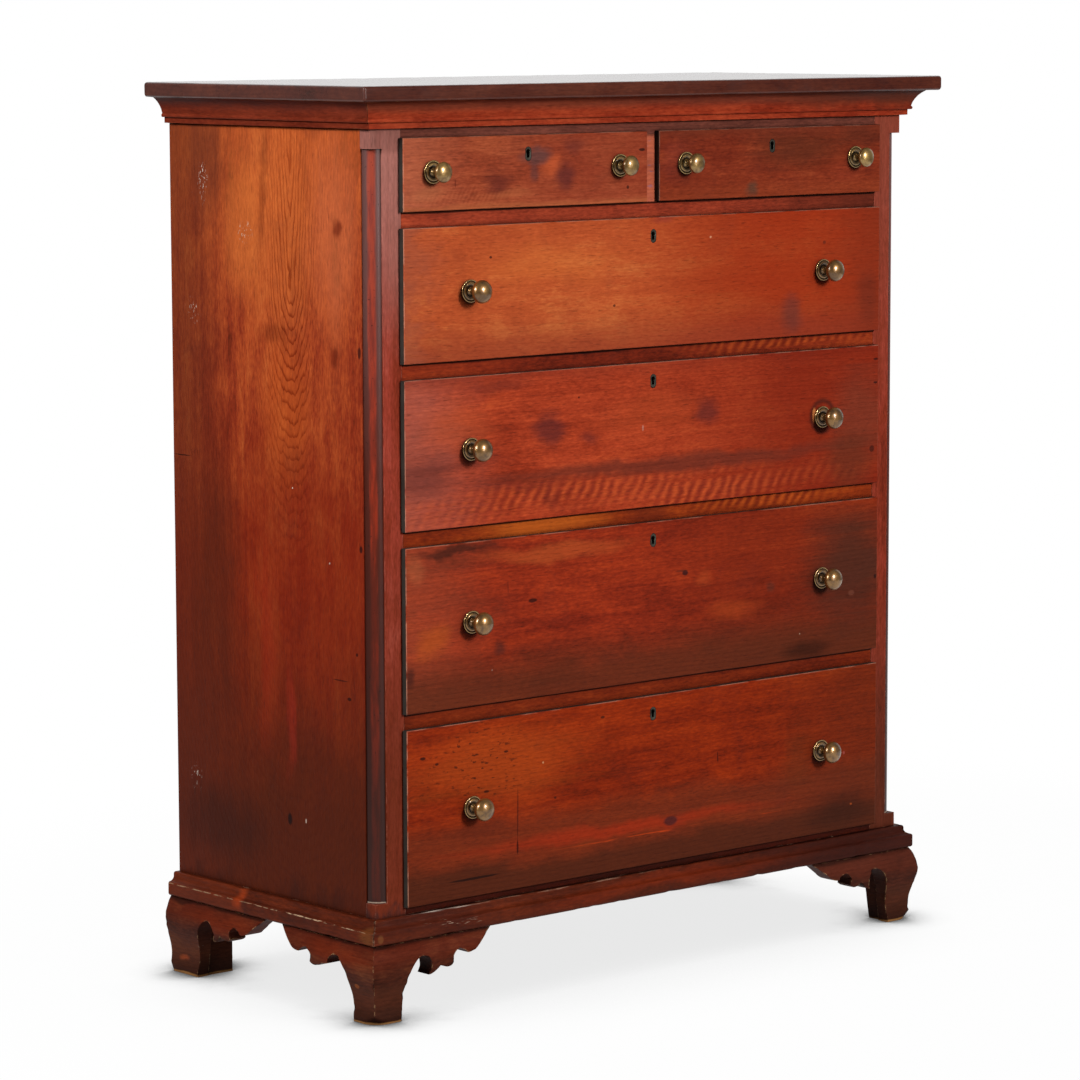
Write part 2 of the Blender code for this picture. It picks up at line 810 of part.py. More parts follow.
# A turned knob with its rosette in front, its threaded shank and nut behind
def knob_mesh(name, ball):
    radius, thick, reach = ball
    middle = reach - thick / 2
    profile = []
    for step in range(BALL_STEPS + 1):
        angle = math.radians(90 - 150 * step / BALL_STEPS)
        profile.append((radius * math.cos(angle), middle + thick / 2 * math.sin(angle)))
    neck_top = profile[-1][1] - 0.0015
    rim = ROSETTE_RADIUS
    profile += [
        (NECK_RADIUS, neck_top),
        (NECK_RADIUS, ROSETTE_THICK + 0.004),
        (rim * 0.55, ROSETTE_THICK),
        (rim * 0.9, ROSETTE_THICK),
        (rim, ROSETTE_THICK * 0.5),
        (rim, 0.0),
        (SHANK_RADIUS, 0.0),
        (SHANK_RADIUS, -FRONT_THICK - 2 * GAP),
        (NUT_RADIUS, -FRONT_THICK - 2 * GAP),
        (NUT_RADIUS, -FRONT_THICK - 2 * GAP - NUT_THICK),
        (0.0, -FRONT_THICK - 2 * GAP - NUT_THICK),
    ]
    profile[0] = (0.0, reach)
    bm = bmesh.new()
    verts = [bm.verts.new((across, 0.0, along)) for across, along in profile]
    for first, second in zip(verts, verts[1:]):
        bm.edges.new((first, second))
    mesh = bpy.data.meshes.new(name)
    bm.to_mesh(mesh)
    bm.free()
    return mesh


def make_knob(name, ball, across, height, holder):
    knob = add_piece(name, knob_mesh(name, ball), knob_brass, holder)
    knob.location = (across, -PROUD - GAP, height)
    knob.rotation_euler = (math.radians(90), 0.0, 0.0)
    turn = knob.modifiers.new("turned", "SCREW")
    turn.axis = "Z"
    turn.steps = KNOB_SEGMENTS
    turn.render_steps = KNOB_SEGMENTS
    turn.use_merge_vertices = True
    turn.merge_threshold = 0.00001
    turn.use_smooth_shade = True


# The middle heights and half width of the dovetails of a drawer side
def tail_places(low, high):
    count = max(2, round((high - low) / TAIL_PITCH))
    pitch = (high - low) / count
    middles = [low + pitch * (number + 0.5) for number in range(count)]
    return middles, pitch * TAIL_SHARE


# Spaces between the tails, cut from the end of a drawer side
def pin_outlines(low, high):
    middles, half = tail_places(low, high)
    tip = tail_tip - 0.002
    flare = TAIL_SLOPE * (tail_root - tip)
    edges = [low - OVERRUN - half] + middles + [high + OVERRUN + half]
    outlines = []
    for below, above in zip(edges, edges[1:]):
        outlines.append(
            [
                (tail_root, below + half),
                (tail_root, above - half),
                (tip, above - half - (flare if above in middles else 0.0)),
                (tip, below + half + (flare if below in middles else 0.0)),
            ]
        )
    return outlines


# The sockets in a drawer front that take the tails, a little larger than they are
def socket_outlines(low, high):
    middles, half = tail_places(low, high)
    mouth = tail_root + 0.002
    tip = tail_tip - GAP
    at_mouth = half + GAP * 1.1 - TAIL_SLOPE * (mouth - tail_root)
    at_tip = half + GAP * 1.1 + TAIL_SLOPE * (tail_root - tip)
    outlines = []
    for middle in middles:
        outlines.append(
            [
                (mouth, middle - at_mouth),
                (mouth, middle + at_mouth),
                (tip, middle + at_tip),
                (tip, middle - at_tip),
            ]
        )
    return outlines


# Several outlines across the same span of x, as one mesh of separate solids
def joined_outlines(name, outlines, spans):
    bm = bmesh.new()
    for low, high in spans:
        for outline in outlines:
            mesh = outline_mesh(name, [outline], (AXIS_Y, AXIS_Z, AXIS_X), low, high)
            bm.from_mesh(mesh)
            bpy.data.meshes.remove(mesh)
    mesh = bpy.data.meshes.new(name)
    bm.to_mesh(mesh)
    bm.free()
    return mesh


class Drawer:
    # The opening it fills is given in the chest's own places; its pieces hang on an empty at its front
    def __init__(self, name, left, right, runner, ceiling, knob_inset, ball):
        self.name = name
        self.half = (right - left) / 2
        self.ball = ball
        self.knob_inset = knob_inset
        self.holder = bpy.data.objects.new(f"{name}_slide", None)
        self.holder.location = ((left + right) / 2, 0.0, runner)
        self.holder.parent = chest
        chest_parts.objects.link(self.holder)
        height = ceiling - runner
        self.face_low = FRONT_CLEAR
        self.face_high = height + LIP
        self.inner_half = self.half - SIDE_CLEAR
        self.inner_high = height - TOP_CLEAR
        self.side_low = GAP
        self.side_high = height - DRAWER_HEAD
        self.box_half = self.inner_half - DRAWER_SIDE
        self.box_back = back_front - DRAWER_TAIL
        self.groove_low = self.side_low + BOTTOM_RAISE
        slope = PANEL_RISE / PANEL_BEVEL
        self.groove_high = (
            self.groove_low + PANEL_EDGE + slope * GROOVE_DEPTH + 2 * GAP
        )
        self.key_height = self.face_high - KEY_DROP

    def make(self):
        self.make_front()
        self.make_carcass()
        self.make_bottom()
        self.make_lock()
        level = (self.face_low + self.face_high) / 2 + KNOB_RISE
        for hand, end in ((-1, "left"), (1, "right")):
            across = hand * (self.half - self.knob_inset)
            make_knob(f"{self.name}_knob_{end}", self.ball, across, level, self.holder)

    def cutter(self, label, mesh, location=(0.0, 0.0, 0.0)):
        return add_cutter(f"{self.name}_{label}", mesh, self.holder, location)

    def boxes(self, label, spans):
        return box_cutter(f"{self.name}_{label}", spans, self.holder)

    def make_front(self):
        reach = self.half + LIP
        front = box_piece(
            f"{self.name}_front",
            (-reach, -PROUD, self.face_low),
            (reach, front_back, self.face_high),
            front_wood,
            self.holder,
        )
        wide = reach + OVERRUN
        low = self.face_low - OVERRUN
        high = self.face_high + OVERRUN
        rebate = [
            (-wide, low),
            (-self.inner_half, low),
            (-self.inner_half, self.inner_high),
            (self.inner_half, self.inner_high),
            (self.inner_half, low),
            (wide, low),
            (wide, high),
            (-wide, high),
        ]
        across_axes = (AXIS_X, AXIS_Z, AXIS_Y)
        mesh = outline_mesh(
            f"{self.name}_rebate", [rebate], across_axes, -GAP, front_back + OVERRUN
        )
        cut(front, self.cutter("rebate", mesh))
        inside = self.box_half - GAP
        outside = self.inner_half + 0.004
        sockets = joined_outlines(
            f"{self.name}_sockets",
            socket_outlines(self.side_low, self.side_high),
            [(-outside, -inside), (inside, outside)],
        )
        cut(front, self.cutter("sockets", sockets))
        groove_end = self.box_half + GROOVE_DEPTH
        groove = [
            (
                (-groove_end, front_back - GROOVE_DEPTH, self.groove_low),
                (groove_end, front_back + OVERRUN, self.groove_high),
            )
        ]
        cut(front, self.boxes("front_groove", groove))
        lock_half = LOCK_WIDTH / 2 + GAP
        mortise = [
            (
                (-lock_half, front_back - LOCK_THICK - GAP, self.lock_low() - GAP),
                (lock_half, front_back + OVERRUN, self.inner_high + 0.0005),
            )
        ]
        cut(front, self.boxes("lock_mortise", mortise))
        liner = stadium(ESCUTCHEON_WIDTH + 2 * GAP, ESCUTCHEON_HEIGHT + 2 * GAP)
        mesh = outline_mesh(
            f"{self.name}_liner_hole",
            [liner],
            across_axes,
            -PROUD - OVERRUN,
            front_back - LOCK_THICK / 2,
        )
        cut(front, self.cutter("liner_hole", mesh, (0.0, 0.0, self.key_height)))
        cut(front, self.cutter("shank_holes", self.shank_holes_mesh()))
        edges = front.modifiers.new("eased_face", "BEVEL")
        edges.width = FACE_EDGE
        edges.segments = 1
        edges.limit_method = "WEIGHT"
        self.mark_face_edges(front.data)

    # Only the four edges round the drawer's face are eased
    def mark_face_edges(self, mesh):
        front_plane = min(vert.co.y for vert in mesh.vertices)
        weights = mesh.attributes.new("bevel_weight_edge", "FLOAT", "EDGE")
        for edge in mesh.edges:
            ends = [mesh.vertices[index].co.y for index in edge.vertices]
            on_face = all(abs(end - front_plane) < 1e-6 for end in ends)
            weights.data[edge.index].value = 1.0 if on_face else 0.0

    def shank_holes_mesh(self):
        level = (self.face_low + self.face_high) / 2 + KNOB_RISE
        bm = bmesh.new()
        for hand in (-1, 1):
            hole = bmesh.ops.create_cone(
                bm,
                cap_ends=True,
                segments=12,
                radius1=SHANK_RADIUS + SHANK_CLEAR,
                radius2=SHANK_RADIUS + SHANK_CLEAR,
                depth=FRONT_THICK + OVERRUN,
            )["verts"]
            for vert in hole:
                across, up, along = vert.co
                vert.co = (
                    across + hand * (self.half - self.knob_inset),
                    -along,
                    up + level,
                )
        mesh = bpy.data.meshes.new(f"{self.name}_shank_holes")
        bm.to_mesh(mesh)
        bm.free()
        return mesh

    def make_carcass(self):
        name = f"{self.name}_carcass"
        front_end = tail_tip
        carcass = box_piece(
            name,
            (-self.inner_half, front_end, self.side_low),
            (-self.box_half, self.box_back, self.side_high),
            inner_wood,
            self.holder,
        )
        other = [
            (
                (self.box_half, front_end, self.side_low),
                (self.inner_half, self.box_back, self.side_high),
            )
        ]
        back = [
            (
                (-self.box_half - 0.002, self.box_back - DRAWER_SIDE, self.groove_high),
                (
                    self.box_half + 0.002,
                    self.box_back - 0.0005,
                    self.side_high - DRAWER_BACK_DROP,
                ),
            )
        ]
        groove = [
            (
                (
                    -self.box_half - GROOVE_DEPTH,
                    front_end - OVERRUN,
                    self.groove_low,
                ),
                (
                    self.box_half + GROOVE_DEPTH,
                    self.box_back + OVERRUN,
                    self.groove_high,
                ),
            )
        ]
        join(carcass, self.boxes("other_side", other))
        join(carcass, self.boxes("drawer_back", back))
        cut(carcass, self.boxes("side_grooves", groove))
        beyond = self.inner_half + 0.004
        inside = self.box_half - 0.004
        pins = joined_outlines(
            f"{self.name}_pins",
            pin_outlines(self.side_low, self.side_high),
            [(-beyond, -inside), (inside, beyond)],
        )
        cut(carcass, self.cutter("pins", pins))

    # A board with a wide bevel underneath, so that its edges fit the grooves
    def make_bottom(self):
        reach = self.box_half + GROOVE_DEPTH - GAP
        front = front_back - GROOVE_DEPTH + GAP
        length = self.box_back - front
        top = self.groove_high - GAP
        bm = bmesh.new()
        corners = bmesh.ops.create_cube(bm, size=1.0)["verts"]
        bmesh.ops.scale(bm, vec=(2 * reach, length, PANEL_EDGE), verts=corners)
        below = [face for face in bm.faces if face.normal.z < -0.5]
        bmesh.ops.inset_region(
            bm, faces=below, thickness=PANEL_BEVEL, depth=0.0, use_even_offset=True
        )
        for vert in below[0].verts:
            vert.co.z -= PANEL_RISE
        mesh = bpy.data.meshes.new(f"{self.name}_bottom")
        bm.to_mesh(mesh)
        bm.free()
        place = (0.0, front + length / 2, top - PANEL_EDGE / 2)
        add_piece(f"{self.name}_bottom", mesh, inner_wood, self.holder, place)

    def lock_low(self):
        return self.inner_high - LOCK_HEIGHT

    def make_lock(self):
        lock = box_piece(
            f"{self.name}_lock",
            (-LOCK_WIDTH / 2, front_back - LOCK_THICK, self.lock_low()),
            (LOCK_WIDTH / 2, front_back, self.inner_high),
            lock_metal,
            self.holder,
        )
        across_axes = (AXIS_X, AXIS_Z, AXIS_Y)
        key_place = (0.0, 0.0, self.key_height)
        liner = outline_mesh(
            f"{self.name}_liner",
            [stadium(ESCUTCHEON_WIDTH, ESCUTCHEON_HEIGHT)],
            across_axes,
            -PROUD,
            front_back - LOCK_THICK + 0.002,
        )
        join(lock, self.cutter("liner", liner, key_place))
        keyhole = outline_mesh(
            f"{self.name}_keyhole",
            [keyhole_outline()],
            across_axes,
            -PROUD - OVERRUN,
            KEYHOLE_DEPTH - PROUD,
        )
        cut(lock, self.cutter("keyhole", keyhole, key_place))


def make_drawers():
    half_divider = DIVIDER_THICK / 2
    runner, ceiling = rows[-1]
    spans = [(-opening_half, -half_divider), (half_divider, opening_half)]
    number = 1
    for left, right in spans:
        name = f"drawer_{number}"
        Drawer(name, left, right, runner, ceiling, SHORT_KNOB_INSET, SHORT_BALL).make()
        number += 1
    for runner, ceiling in reversed(rows[:-1]):
        name = f"drawer_{number}"
        long_drawer = Drawer(
            name, -opening_half, opening_half, runner, ceiling, LONG_KNOB_INSET, LONG_BALL
        )
        long_drawer.make()
        number += 1


make_top()
make_back()
make_case_bottom()
make_dust_boards()
make_top_rail()
for hand, end in ((-1, "left"), (1, "right")):
    make_side(hand, f"side_{end}")
    make_corner_post(hand, f"corner_post_{end}")
    make_quarter_column(hand, f"quarter_column_{end}")
    make_moulding(f"cornice_{end}", cornice_outline(), case_wood, hand)
    make_moulding(f"base_moulding_{end}", base_outline(), dark_wood, hand)
    make_front_foot(hand, f"foot_front_{end}")
    make_rear_foot(hand, f"foot_rear_{end}")
make_moulding("cornice_front", cornice_outline(), case_wood, 0)
make_moulding("base_moulding_front", base_outline(), dark_wood, 0)
make_drawers()
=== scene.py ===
# Tall chest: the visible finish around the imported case, drawers and feet
import json
import math

import bmesh
import bpy
from mathutils import Matrix, Vector, noise

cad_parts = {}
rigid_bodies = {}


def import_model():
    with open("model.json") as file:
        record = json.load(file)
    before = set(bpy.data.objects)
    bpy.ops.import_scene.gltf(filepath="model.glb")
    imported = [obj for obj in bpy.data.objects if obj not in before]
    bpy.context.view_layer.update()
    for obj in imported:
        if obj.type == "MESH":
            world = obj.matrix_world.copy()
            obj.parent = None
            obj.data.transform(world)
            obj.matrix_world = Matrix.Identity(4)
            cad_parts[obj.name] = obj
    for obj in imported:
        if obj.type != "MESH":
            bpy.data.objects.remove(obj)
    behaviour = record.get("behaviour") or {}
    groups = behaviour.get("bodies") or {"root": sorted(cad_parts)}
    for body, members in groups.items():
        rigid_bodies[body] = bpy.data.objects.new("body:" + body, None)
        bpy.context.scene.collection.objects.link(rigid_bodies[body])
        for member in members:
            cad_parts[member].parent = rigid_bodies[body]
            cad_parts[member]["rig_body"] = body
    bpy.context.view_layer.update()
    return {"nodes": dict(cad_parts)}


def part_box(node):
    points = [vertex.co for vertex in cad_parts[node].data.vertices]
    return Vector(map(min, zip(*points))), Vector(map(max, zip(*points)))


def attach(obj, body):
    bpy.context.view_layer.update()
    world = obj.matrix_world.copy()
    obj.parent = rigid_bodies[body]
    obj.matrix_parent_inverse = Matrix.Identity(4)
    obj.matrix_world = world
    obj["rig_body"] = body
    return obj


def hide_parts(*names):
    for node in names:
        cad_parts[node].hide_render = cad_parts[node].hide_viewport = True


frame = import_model()
nodes = frame["nodes"]
print("frame loaded,", len(nodes), "nodes")

# Camera, light and floor
camera = {
    "yaw": 41.284, "pitch": 7.294, "roll": -0.146,
    "place": (-4.1674, -4.7306, 1.4078),
    "lens": 142.0, "sensor": 36, "shift": (-8.38 / 1080, 10.01 / 1080), "clip": (0.1, 60),
}


def makeCamera():
    yaw, pitch, roll = (math.radians(camera[key]) for key in ("yaw", "pitch", "roll"))
    ahead = Vector((math.sin(yaw) * math.cos(pitch), math.cos(yaw) * math.cos(pitch), -math.sin(pitch)))
    level = Vector((math.cos(yaw), -math.sin(yaw), 0))
    up = level.cross(ahead)
    right = level * math.cos(roll) + up * math.sin(roll)
    top = up * math.cos(roll) - level * math.sin(roll)
    data = bpy.data.cameras.new("photoCamera")
    data.sensor_width = camera["sensor"]
    data.lens = camera["lens"]
    data.shift_x, data.shift_y = camera["shift"]
    data.clip_start, data.clip_end = camera["clip"]
    eye = bpy.data.objects.new("photoCamera", data)
    turn = Matrix((right, top, -ahead)).transposed().to_4x4()
    eye.matrix_world = Matrix.Translation(camera["place"]) @ turn
    bpy.context.scene.collection.objects.link(eye)
    bpy.context.scene.camera = eye


makeCamera()
bpy.context.scene.view_settings.view_transform = "Standard"
print("camera set")


# A wire is one socket of a node tree; sums on wires add Math nodes, or Vector Math where one is a vector
class Wire:
    def __init__(self, finish, socket):
        self.finish, self.socket = finish, socket

    def sum(self, operation, *terms):
        wide = any(isinstance(term, Wire) and term.socket.type in ("VECTOR", "RGBA") for term in terms)
        kind = "ShaderNodeVectorMath" if wide else "ShaderNodeMath"
        return self.finish.node(kind, {"operation": operation}, dict(enumerate(terms)))

    def __add__(self, other):
        return self.sum("ADD", self, other)

    def __radd__(self, other):
        return self.sum("ADD", other, self)

    def __sub__(self, other):
        return self.sum("SUBTRACT", self, other)

    def __rsub__(self, other):
        return self.sum("SUBTRACT", other, self)

    def __mul__(self, other):
        return self.sum("MULTIPLY", self, other)

    def __rmul__(self, other):
        return self.sum("MULTIPLY", other, self)

    def __truediv__(self, other):
        return self.sum("DIVIDE", self, other)

    def __rtruediv__(self, other):
        return self.sum("DIVIDE", other, self)

    def __pow__(self, other):
        return self.sum("POWER", self, other)


# A material's or the world's tree, with the one method that adds any node
class Finish:
    def __init__(self, owner):
        owner.use_nodes = True
        self.tree = owner.node_tree
        self.tree.nodes.clear()

    def node(self, kind, settings=None, values=None, output=0):
        made = self.tree.nodes.new(kind)
        for key, value in (settings or {}).items():
            if key == "stops":
                ramp = made.color_ramp
                while len(ramp.elements) < len(value):
                    ramp.elements.new(0.5)
                for element, (position, colour) in zip(ramp.elements, value):
                    element.position, element.color = position, colour
            else:
                setattr(made, key, value)
        for key, value in (values or {}).items():
            socket = made.inputs[key]
            if isinstance(value, Wire):
                self.tree.links.new(value.socket, socket)
            elif socket.type in ("VECTOR", "RGBA") and isinstance(value, (int, float)):
                socket.default_value = (value,) * len(socket.default_value)
            else:
                socket.default_value = value
        return Wire(self, made.outputs[output]) if made.outputs else None

    def noise(self, place, scale, detail=2.0, rough=0.5, twist=0.0, output=0):
        values = {"Vector": place, "Scale": scale, "Detail": detail, "Roughness": rough, "Distortion": twist}
        return self.node("ShaderNodeTexNoise", {}, values, output)

    def join(self, x, y, z):
        return self.node("ShaderNodeCombineXYZ", {}, {0: x, 1: y, 2: z})

    def split(self, place):
        parts = self.node("ShaderNodeSeparateXYZ", {}, {0: place}).socket.node
        return [Wire(self, output) for output in parts.outputs]

    # 0 before start, 1 past end, smooth between
    def rise(self, value, start, end):
        values = {"Value": value, "From Min": start, "From Max": end}
        return self.node("ShaderNodeMapRange", {"interpolation_type": "SMOOTHSTEP"}, values)

    def least(self, one, other):
        return self.node("ShaderNodeMath", {"operation": "MINIMUM"}, {0: one, 1: other})

    def either(self, one, other):
        return self.node("ShaderNodeMath", {"operation": "MAXIMUM"}, {0: one, 1: other})

    def dot(self, one, other):
        return self.node("ShaderNodeVectorMath", {"operation": "DOT_PRODUCT"}, {0: one, 1: other}, "Value")

    def spot(self):
        return self.node("ShaderNodeTexCoord", output="Object")

    def normal(self):
        return self.node("ShaderNodeNewGeometry", output="Normal")

    # How open a place is to the air around it: 1 in the open, towards 0 in a corner; lean looks to one side
    def openness(self, reach, samples=4, lean=None):
        values = {"Distance": reach}
        if lean:
            values["Normal"] = self.normal() + lean
        return self.node("ShaderNodeAmbientOcclusion", {"samples": samples}, values, "AO")

    def blend(self, factor, one, other, kind="MIX"):
        settings = {"data_type": "RGBA", "blend_type": kind, "clamp_factor": True}
        return self.node("ShaderNodeMix", settings, {0: factor, 6: one, 7: other}, 2)

    # Darker and brighter by up to amount, after a cloud's values
    def grain(self, paint, cloud, amount):
        dull, full = ((value, value, value, 1) for value in (1 - amount, 1 + amount))
        return self.blend(1.0, paint, self.blend(cloud, dull, full), "MULTIPLY")

    def surface(self, values):
        shader = self.node("ShaderNodeBsdfPrincipled", {}, values)
        self.node("ShaderNodeOutputMaterial", {}, {"Surface": shader})


# A written colour such as "bf5e33" as Blender's linear colour
def tint(code):
    parts = [int(code[start:start + 2], 16) / 255 for start in (0, 2, 4)]
    linear = [part / 12.92 if part < 0.04045 else ((part + 0.055) / 1.055) ** 2.4 for part in parts]
    return (*linear, 1.0)


def tints(codes):
    return [tint(code) for code in codes]


studio = {
    "dim": 0.16, "under": 0.06,  # the room's light on the chest, over and under the horizon
    "shine": 0.2, "bright": 1.0,  # the room in front, and the backdrop, as they show in brass and varnish
    "horizon": (-0.12, 0.12), "backdrop": {"side": (0.3, 0.8), "height": (-0.12, 0.06)},
    "lamps": {
        "keyLamp": {"place": (1.0, -6.4, 2.8), "size": (0.75, 1.2), "power": 325},
        "stripLamp": {"place": (0.7, -5.6, 1.9), "size": (0.5, 3.0), "power": 62},
        "sideLamp": {"place": (-3.9, -0.45, 2.6), "size": (1.1, 1.1), "power": 165},
    },
    "target": (0.0, -0.1, 0.75),
    "floor": {"place": (0.3, -0.2, 0.0), "radius": 3.2, "points": 96, "fade": (1.0, 1.7), "rough": 0.9,
              "tints": ("a2a2a1", "949493"), "pace": 60, "mix": 0.3},
    "floorGlow": 0.985,  # how much of the floor's white is its own to the camera
    # painted shadows on the floor: under the case and beside each foot
    "shadowUnderCase": {"reach": 0.42, "closed": (0.16, 0.72), "shade": 0.185},
    "contactShadow": {"reach": 0.085, "closed": (0.05, 0.54), "shade": 0.84},
}


def makeWorld():
    world = bpy.data.worlds.new("studio")
    bpy.context.scene.world = world
    room = Finish(world)
    direction = room.node("ShaderNodeTexCoord", output="Generated")
    yaw = math.radians(camera["yaw"])
    behind = room.dot(direction, (math.sin(yaw), math.cos(yaw), 0.0))
    backdrop = room.rise(behind, *studio["backdrop"]["side"])
    seen = room.node("ShaderNodeLightPath", output="Is Camera Ray")
    glossy = room.node("ShaderNodeLightPath", output="Is Glossy Ray")
    through = room.node("ShaderNodeLightPath", output="Is Transmission Ray")
    height = room.split(direction)[2]
    lit = studio["under"] + room.rise(height, *studio["horizon"]) * (studio["dim"] - studio["under"])
    around = backdrop * room.rise(height, *studio["backdrop"]["height"])
    around = around * (studio["bright"] - studio["shine"]) + studio["shine"]
    mirrored = lit + glossy * (around - lit)
    strength = mirrored + room.either(seen, through) * (1.0 - mirrored)
    shine = room.node("ShaderNodeBackground", {}, {"Color": (1, 1, 1, 1), "Strength": strength})
    room.node("ShaderNodeOutputWorld", {}, {"Surface": shine})


def makeLamp(name, lamp):
    data = bpy.data.lights.new(name, "AREA")
    data.shape = "RECTANGLE"
    data.size, data.size_y = lamp["size"]
    data.energy = lamp["power"]
    light = bpy.data.objects.new(name, data)
    light.location = lamp["place"]
    facing = Vector(studio["target"]) - Vector(lamp["place"])
    light.rotation_euler = facing.to_track_quat("-Z", "Y").to_euler()
    bpy.context.scene.collection.objects.link(light)


def makeFloor():
    plain = studio["floor"]
    bm = bmesh.new()
    bmesh.ops.create_circle(bm, cap_ends=True, segments=plain["points"], radius=plain["radius"])
    mesh = bpy.data.meshes.new("floor")
    bm.to_mesh(mesh)
    bm.free()
    floor = bpy.data.objects.new("floor", mesh)
    floor.location = plain["place"]
    bpy.context.scene.collection.objects.link(floor)
    material = bpy.data.materials.new("paleFloor")
    pale = Finish(material)
    spot = pale.spot()
    reach = pale.node("ShaderNodeVectorMath", {"operation": "LENGTH"}, {0: spot}, "Value")
    paint = pale.blend(pale.noise(spot, plain["pace"], 3) * plain["mix"], *tints(plain["tints"]))
    matt = pale.node("ShaderNodeBsdfPrincipled", {}, {
        "Base Color": paint, "Roughness": plain["rough"], "Specular IOR Level": 0.0})

    # the floor's white carries a painted shadow, darker where something stands close over it
    def shadeOf(part):
        closed = pale.rise(1 - pale.openness(part["reach"], 8), *part["closed"])
        return 1 - closed * part["shade"]

    shade = shadeOf(studio["shadowUnderCase"]) * shadeOf(studio["contactShadow"])
    shadowedWhite = pale.node("ShaderNodeEmission", {}, {"Color": pale.join(shade, shade, shade), "Strength": 1.0})
    plainWhite = pale.node("ShaderNodeEmission", {}, {"Color": (1, 1, 1, 1), "Strength": 1.0})
    clear = pale.node("ShaderNodeBsdfTransparent")
    seen, glossy, through = (pale.node("ShaderNodeLightPath", output=f"Is {kind} Ray")
                             for kind in ("Camera", "Glossy", "Transmission"))
    seen = pale.either(seen, pale.either(glossy, through))
    away = pale.node("ShaderNodeMixShader", {}, {0: seen, 1: clear, 2: plainWhite})
    lit = pale.node("ShaderNodeMixShader", {}, {0: seen * studio["floorGlow"], 1: matt, 2: shadowedWhite})
    fade = pale.rise(reach, *plain["fade"])
    ground = pale.node("ShaderNodeMixShader", {}, {0: fade, 1: lit, 2: away})
    pale.node("ShaderNodeOutputMaterial", {}, {"Surface": ground})
    mesh.materials.append(material)


makeWorld()
for name, lamp in studio["lamps"].items():
    makeLamp(name, lamp)
makeFloor()
print("studio set")

# Wood. Grain: the axes along, across and through the board; cornered: what faces the front or back is a
# board of its own, with its grain along x. Face: the two axes that the tones are placed on, as fractions
# u and w from 0 to 1. Palette: the streaks' colours, dark to light, stirred by bands, streaks, mottle, grit.
# Heart: the trunk's middle across the board and how far behind the face it lies at the board's high end;
# taper: how much deeper it lies per metre further on, and how much more so past a start; cone: the trunk's
# own narrowing. Rings: a year's pitch, late wood from and to, and sway, ripple and teeth that unsettle them.
# Shade and grime: painted shade, with some grime, where a place isn't open within hollow metres; lean looks
# for it to one side, so that on the fronts it falls as a painted shadow below and left of each knob.
# Tones, each with its colour and amount last: slope (axis, start, end), patch and mark (place, size in
# metres; a patch has stirred edges), halo (place, radius, width), scuff and dash (place, size, paces of
# their flecks). Curl is figure across the grain; drawer, rim, wear and sole are edges. None leaves one out.
plainWood = {
    "grain": "xzy", "cornered": False, "face": ("x", "z"), "seed": 0.0,
    "palette": ("4e1c14", "7c2c1a", "96391f", "ad4c2a"), "paletteStops": (0.22, 0.42, 0.58, 0.78),
    "bands": 0.55, "streaks": 0.42, "mottle": 0.5, "grit": 0.3,
    "heart": (0.0, 0.03), "taper": (0.02, 0.0, 0.0), "cone": 0.0, "pitch": 0.0065, "late": (0.45, 0.92),
    "sway": 0.04, "ripple": 0.003, "teeth": (15.0, 46.0),
    "rings": 0.22, "ringTint": "c8b0a6", "ringZone": None,
    "fibre": 0.17, "fleck": 0.2, "pores": 0.35, "poreTint": "2a0d08", "stain": 0.14, "stainTint": "45201c",
    "shadeAndGrime": 0.6, "shadeAndGrimeTint": "1a0906", "hollow": 0.009, "hollowOpen": (0.3, 0.85), "lean": None,
    "rough": 0.42, "relief": 0.5, "reliefDepth": 0.0016, "gloss": 0.03,
    "coat": 0.0, "coatRough": 0.16, "coatUp": False,  # coatUp: varnish on what faces up alone
    "tones": (), "curl": None, "drawer": None, "rim": None, "wear": None, "sole": None,
}
# Clouds in the wood: paces along and across the grain, detail, roughness, twist and shift
woodClouds = {
    "band": (0.9, 8.0, 2.0), "streak": (2.6, 58.0, 3.0, 0.6, 0.4, 3.0),
    "mottle": (13.0, 30.0, 4.0, 0.62, 0.5, 9.0), "fibre": (30.0, 560.0, 2.0, 0.6),
    "fleck": (95.0, 330.0, 2.0, 0.6, 0.0, 5.0), "waver": (24.0, 46.0, 2.0, 0.5, 0.0, 1.0),
    "sway": (1.5, 3.0, 2.0, 0.5, 0.0, 12.0), "pores": (60.0, 700.0, 1.0, 0.5, 0.0, 21.0),
}
# Kinds of tone: how far clouds stir one, how streaks fray its edge, the edge itself, what shows of its flecks
toneKinds = {
    "slope": {"stir": (0.1, 0.16)}, "halo": {"stir": 0.0035}, "mark": {"stir": 0.0035, "edge": (0.6, 1.05)},
    "dash": {"stir": 0.0035, "edge": (0.5, 1.05), "flecks": (0.46, 0.58)},
    "patch": {"stir": 0.055, "fray": 0.9, "edge": (0.25, 1.2)},
    "scuff": {"stir": 0.055, "fray": 0.9, "edge": (0.25, 1.2), "flecks": (0.6, 0.68)},
}


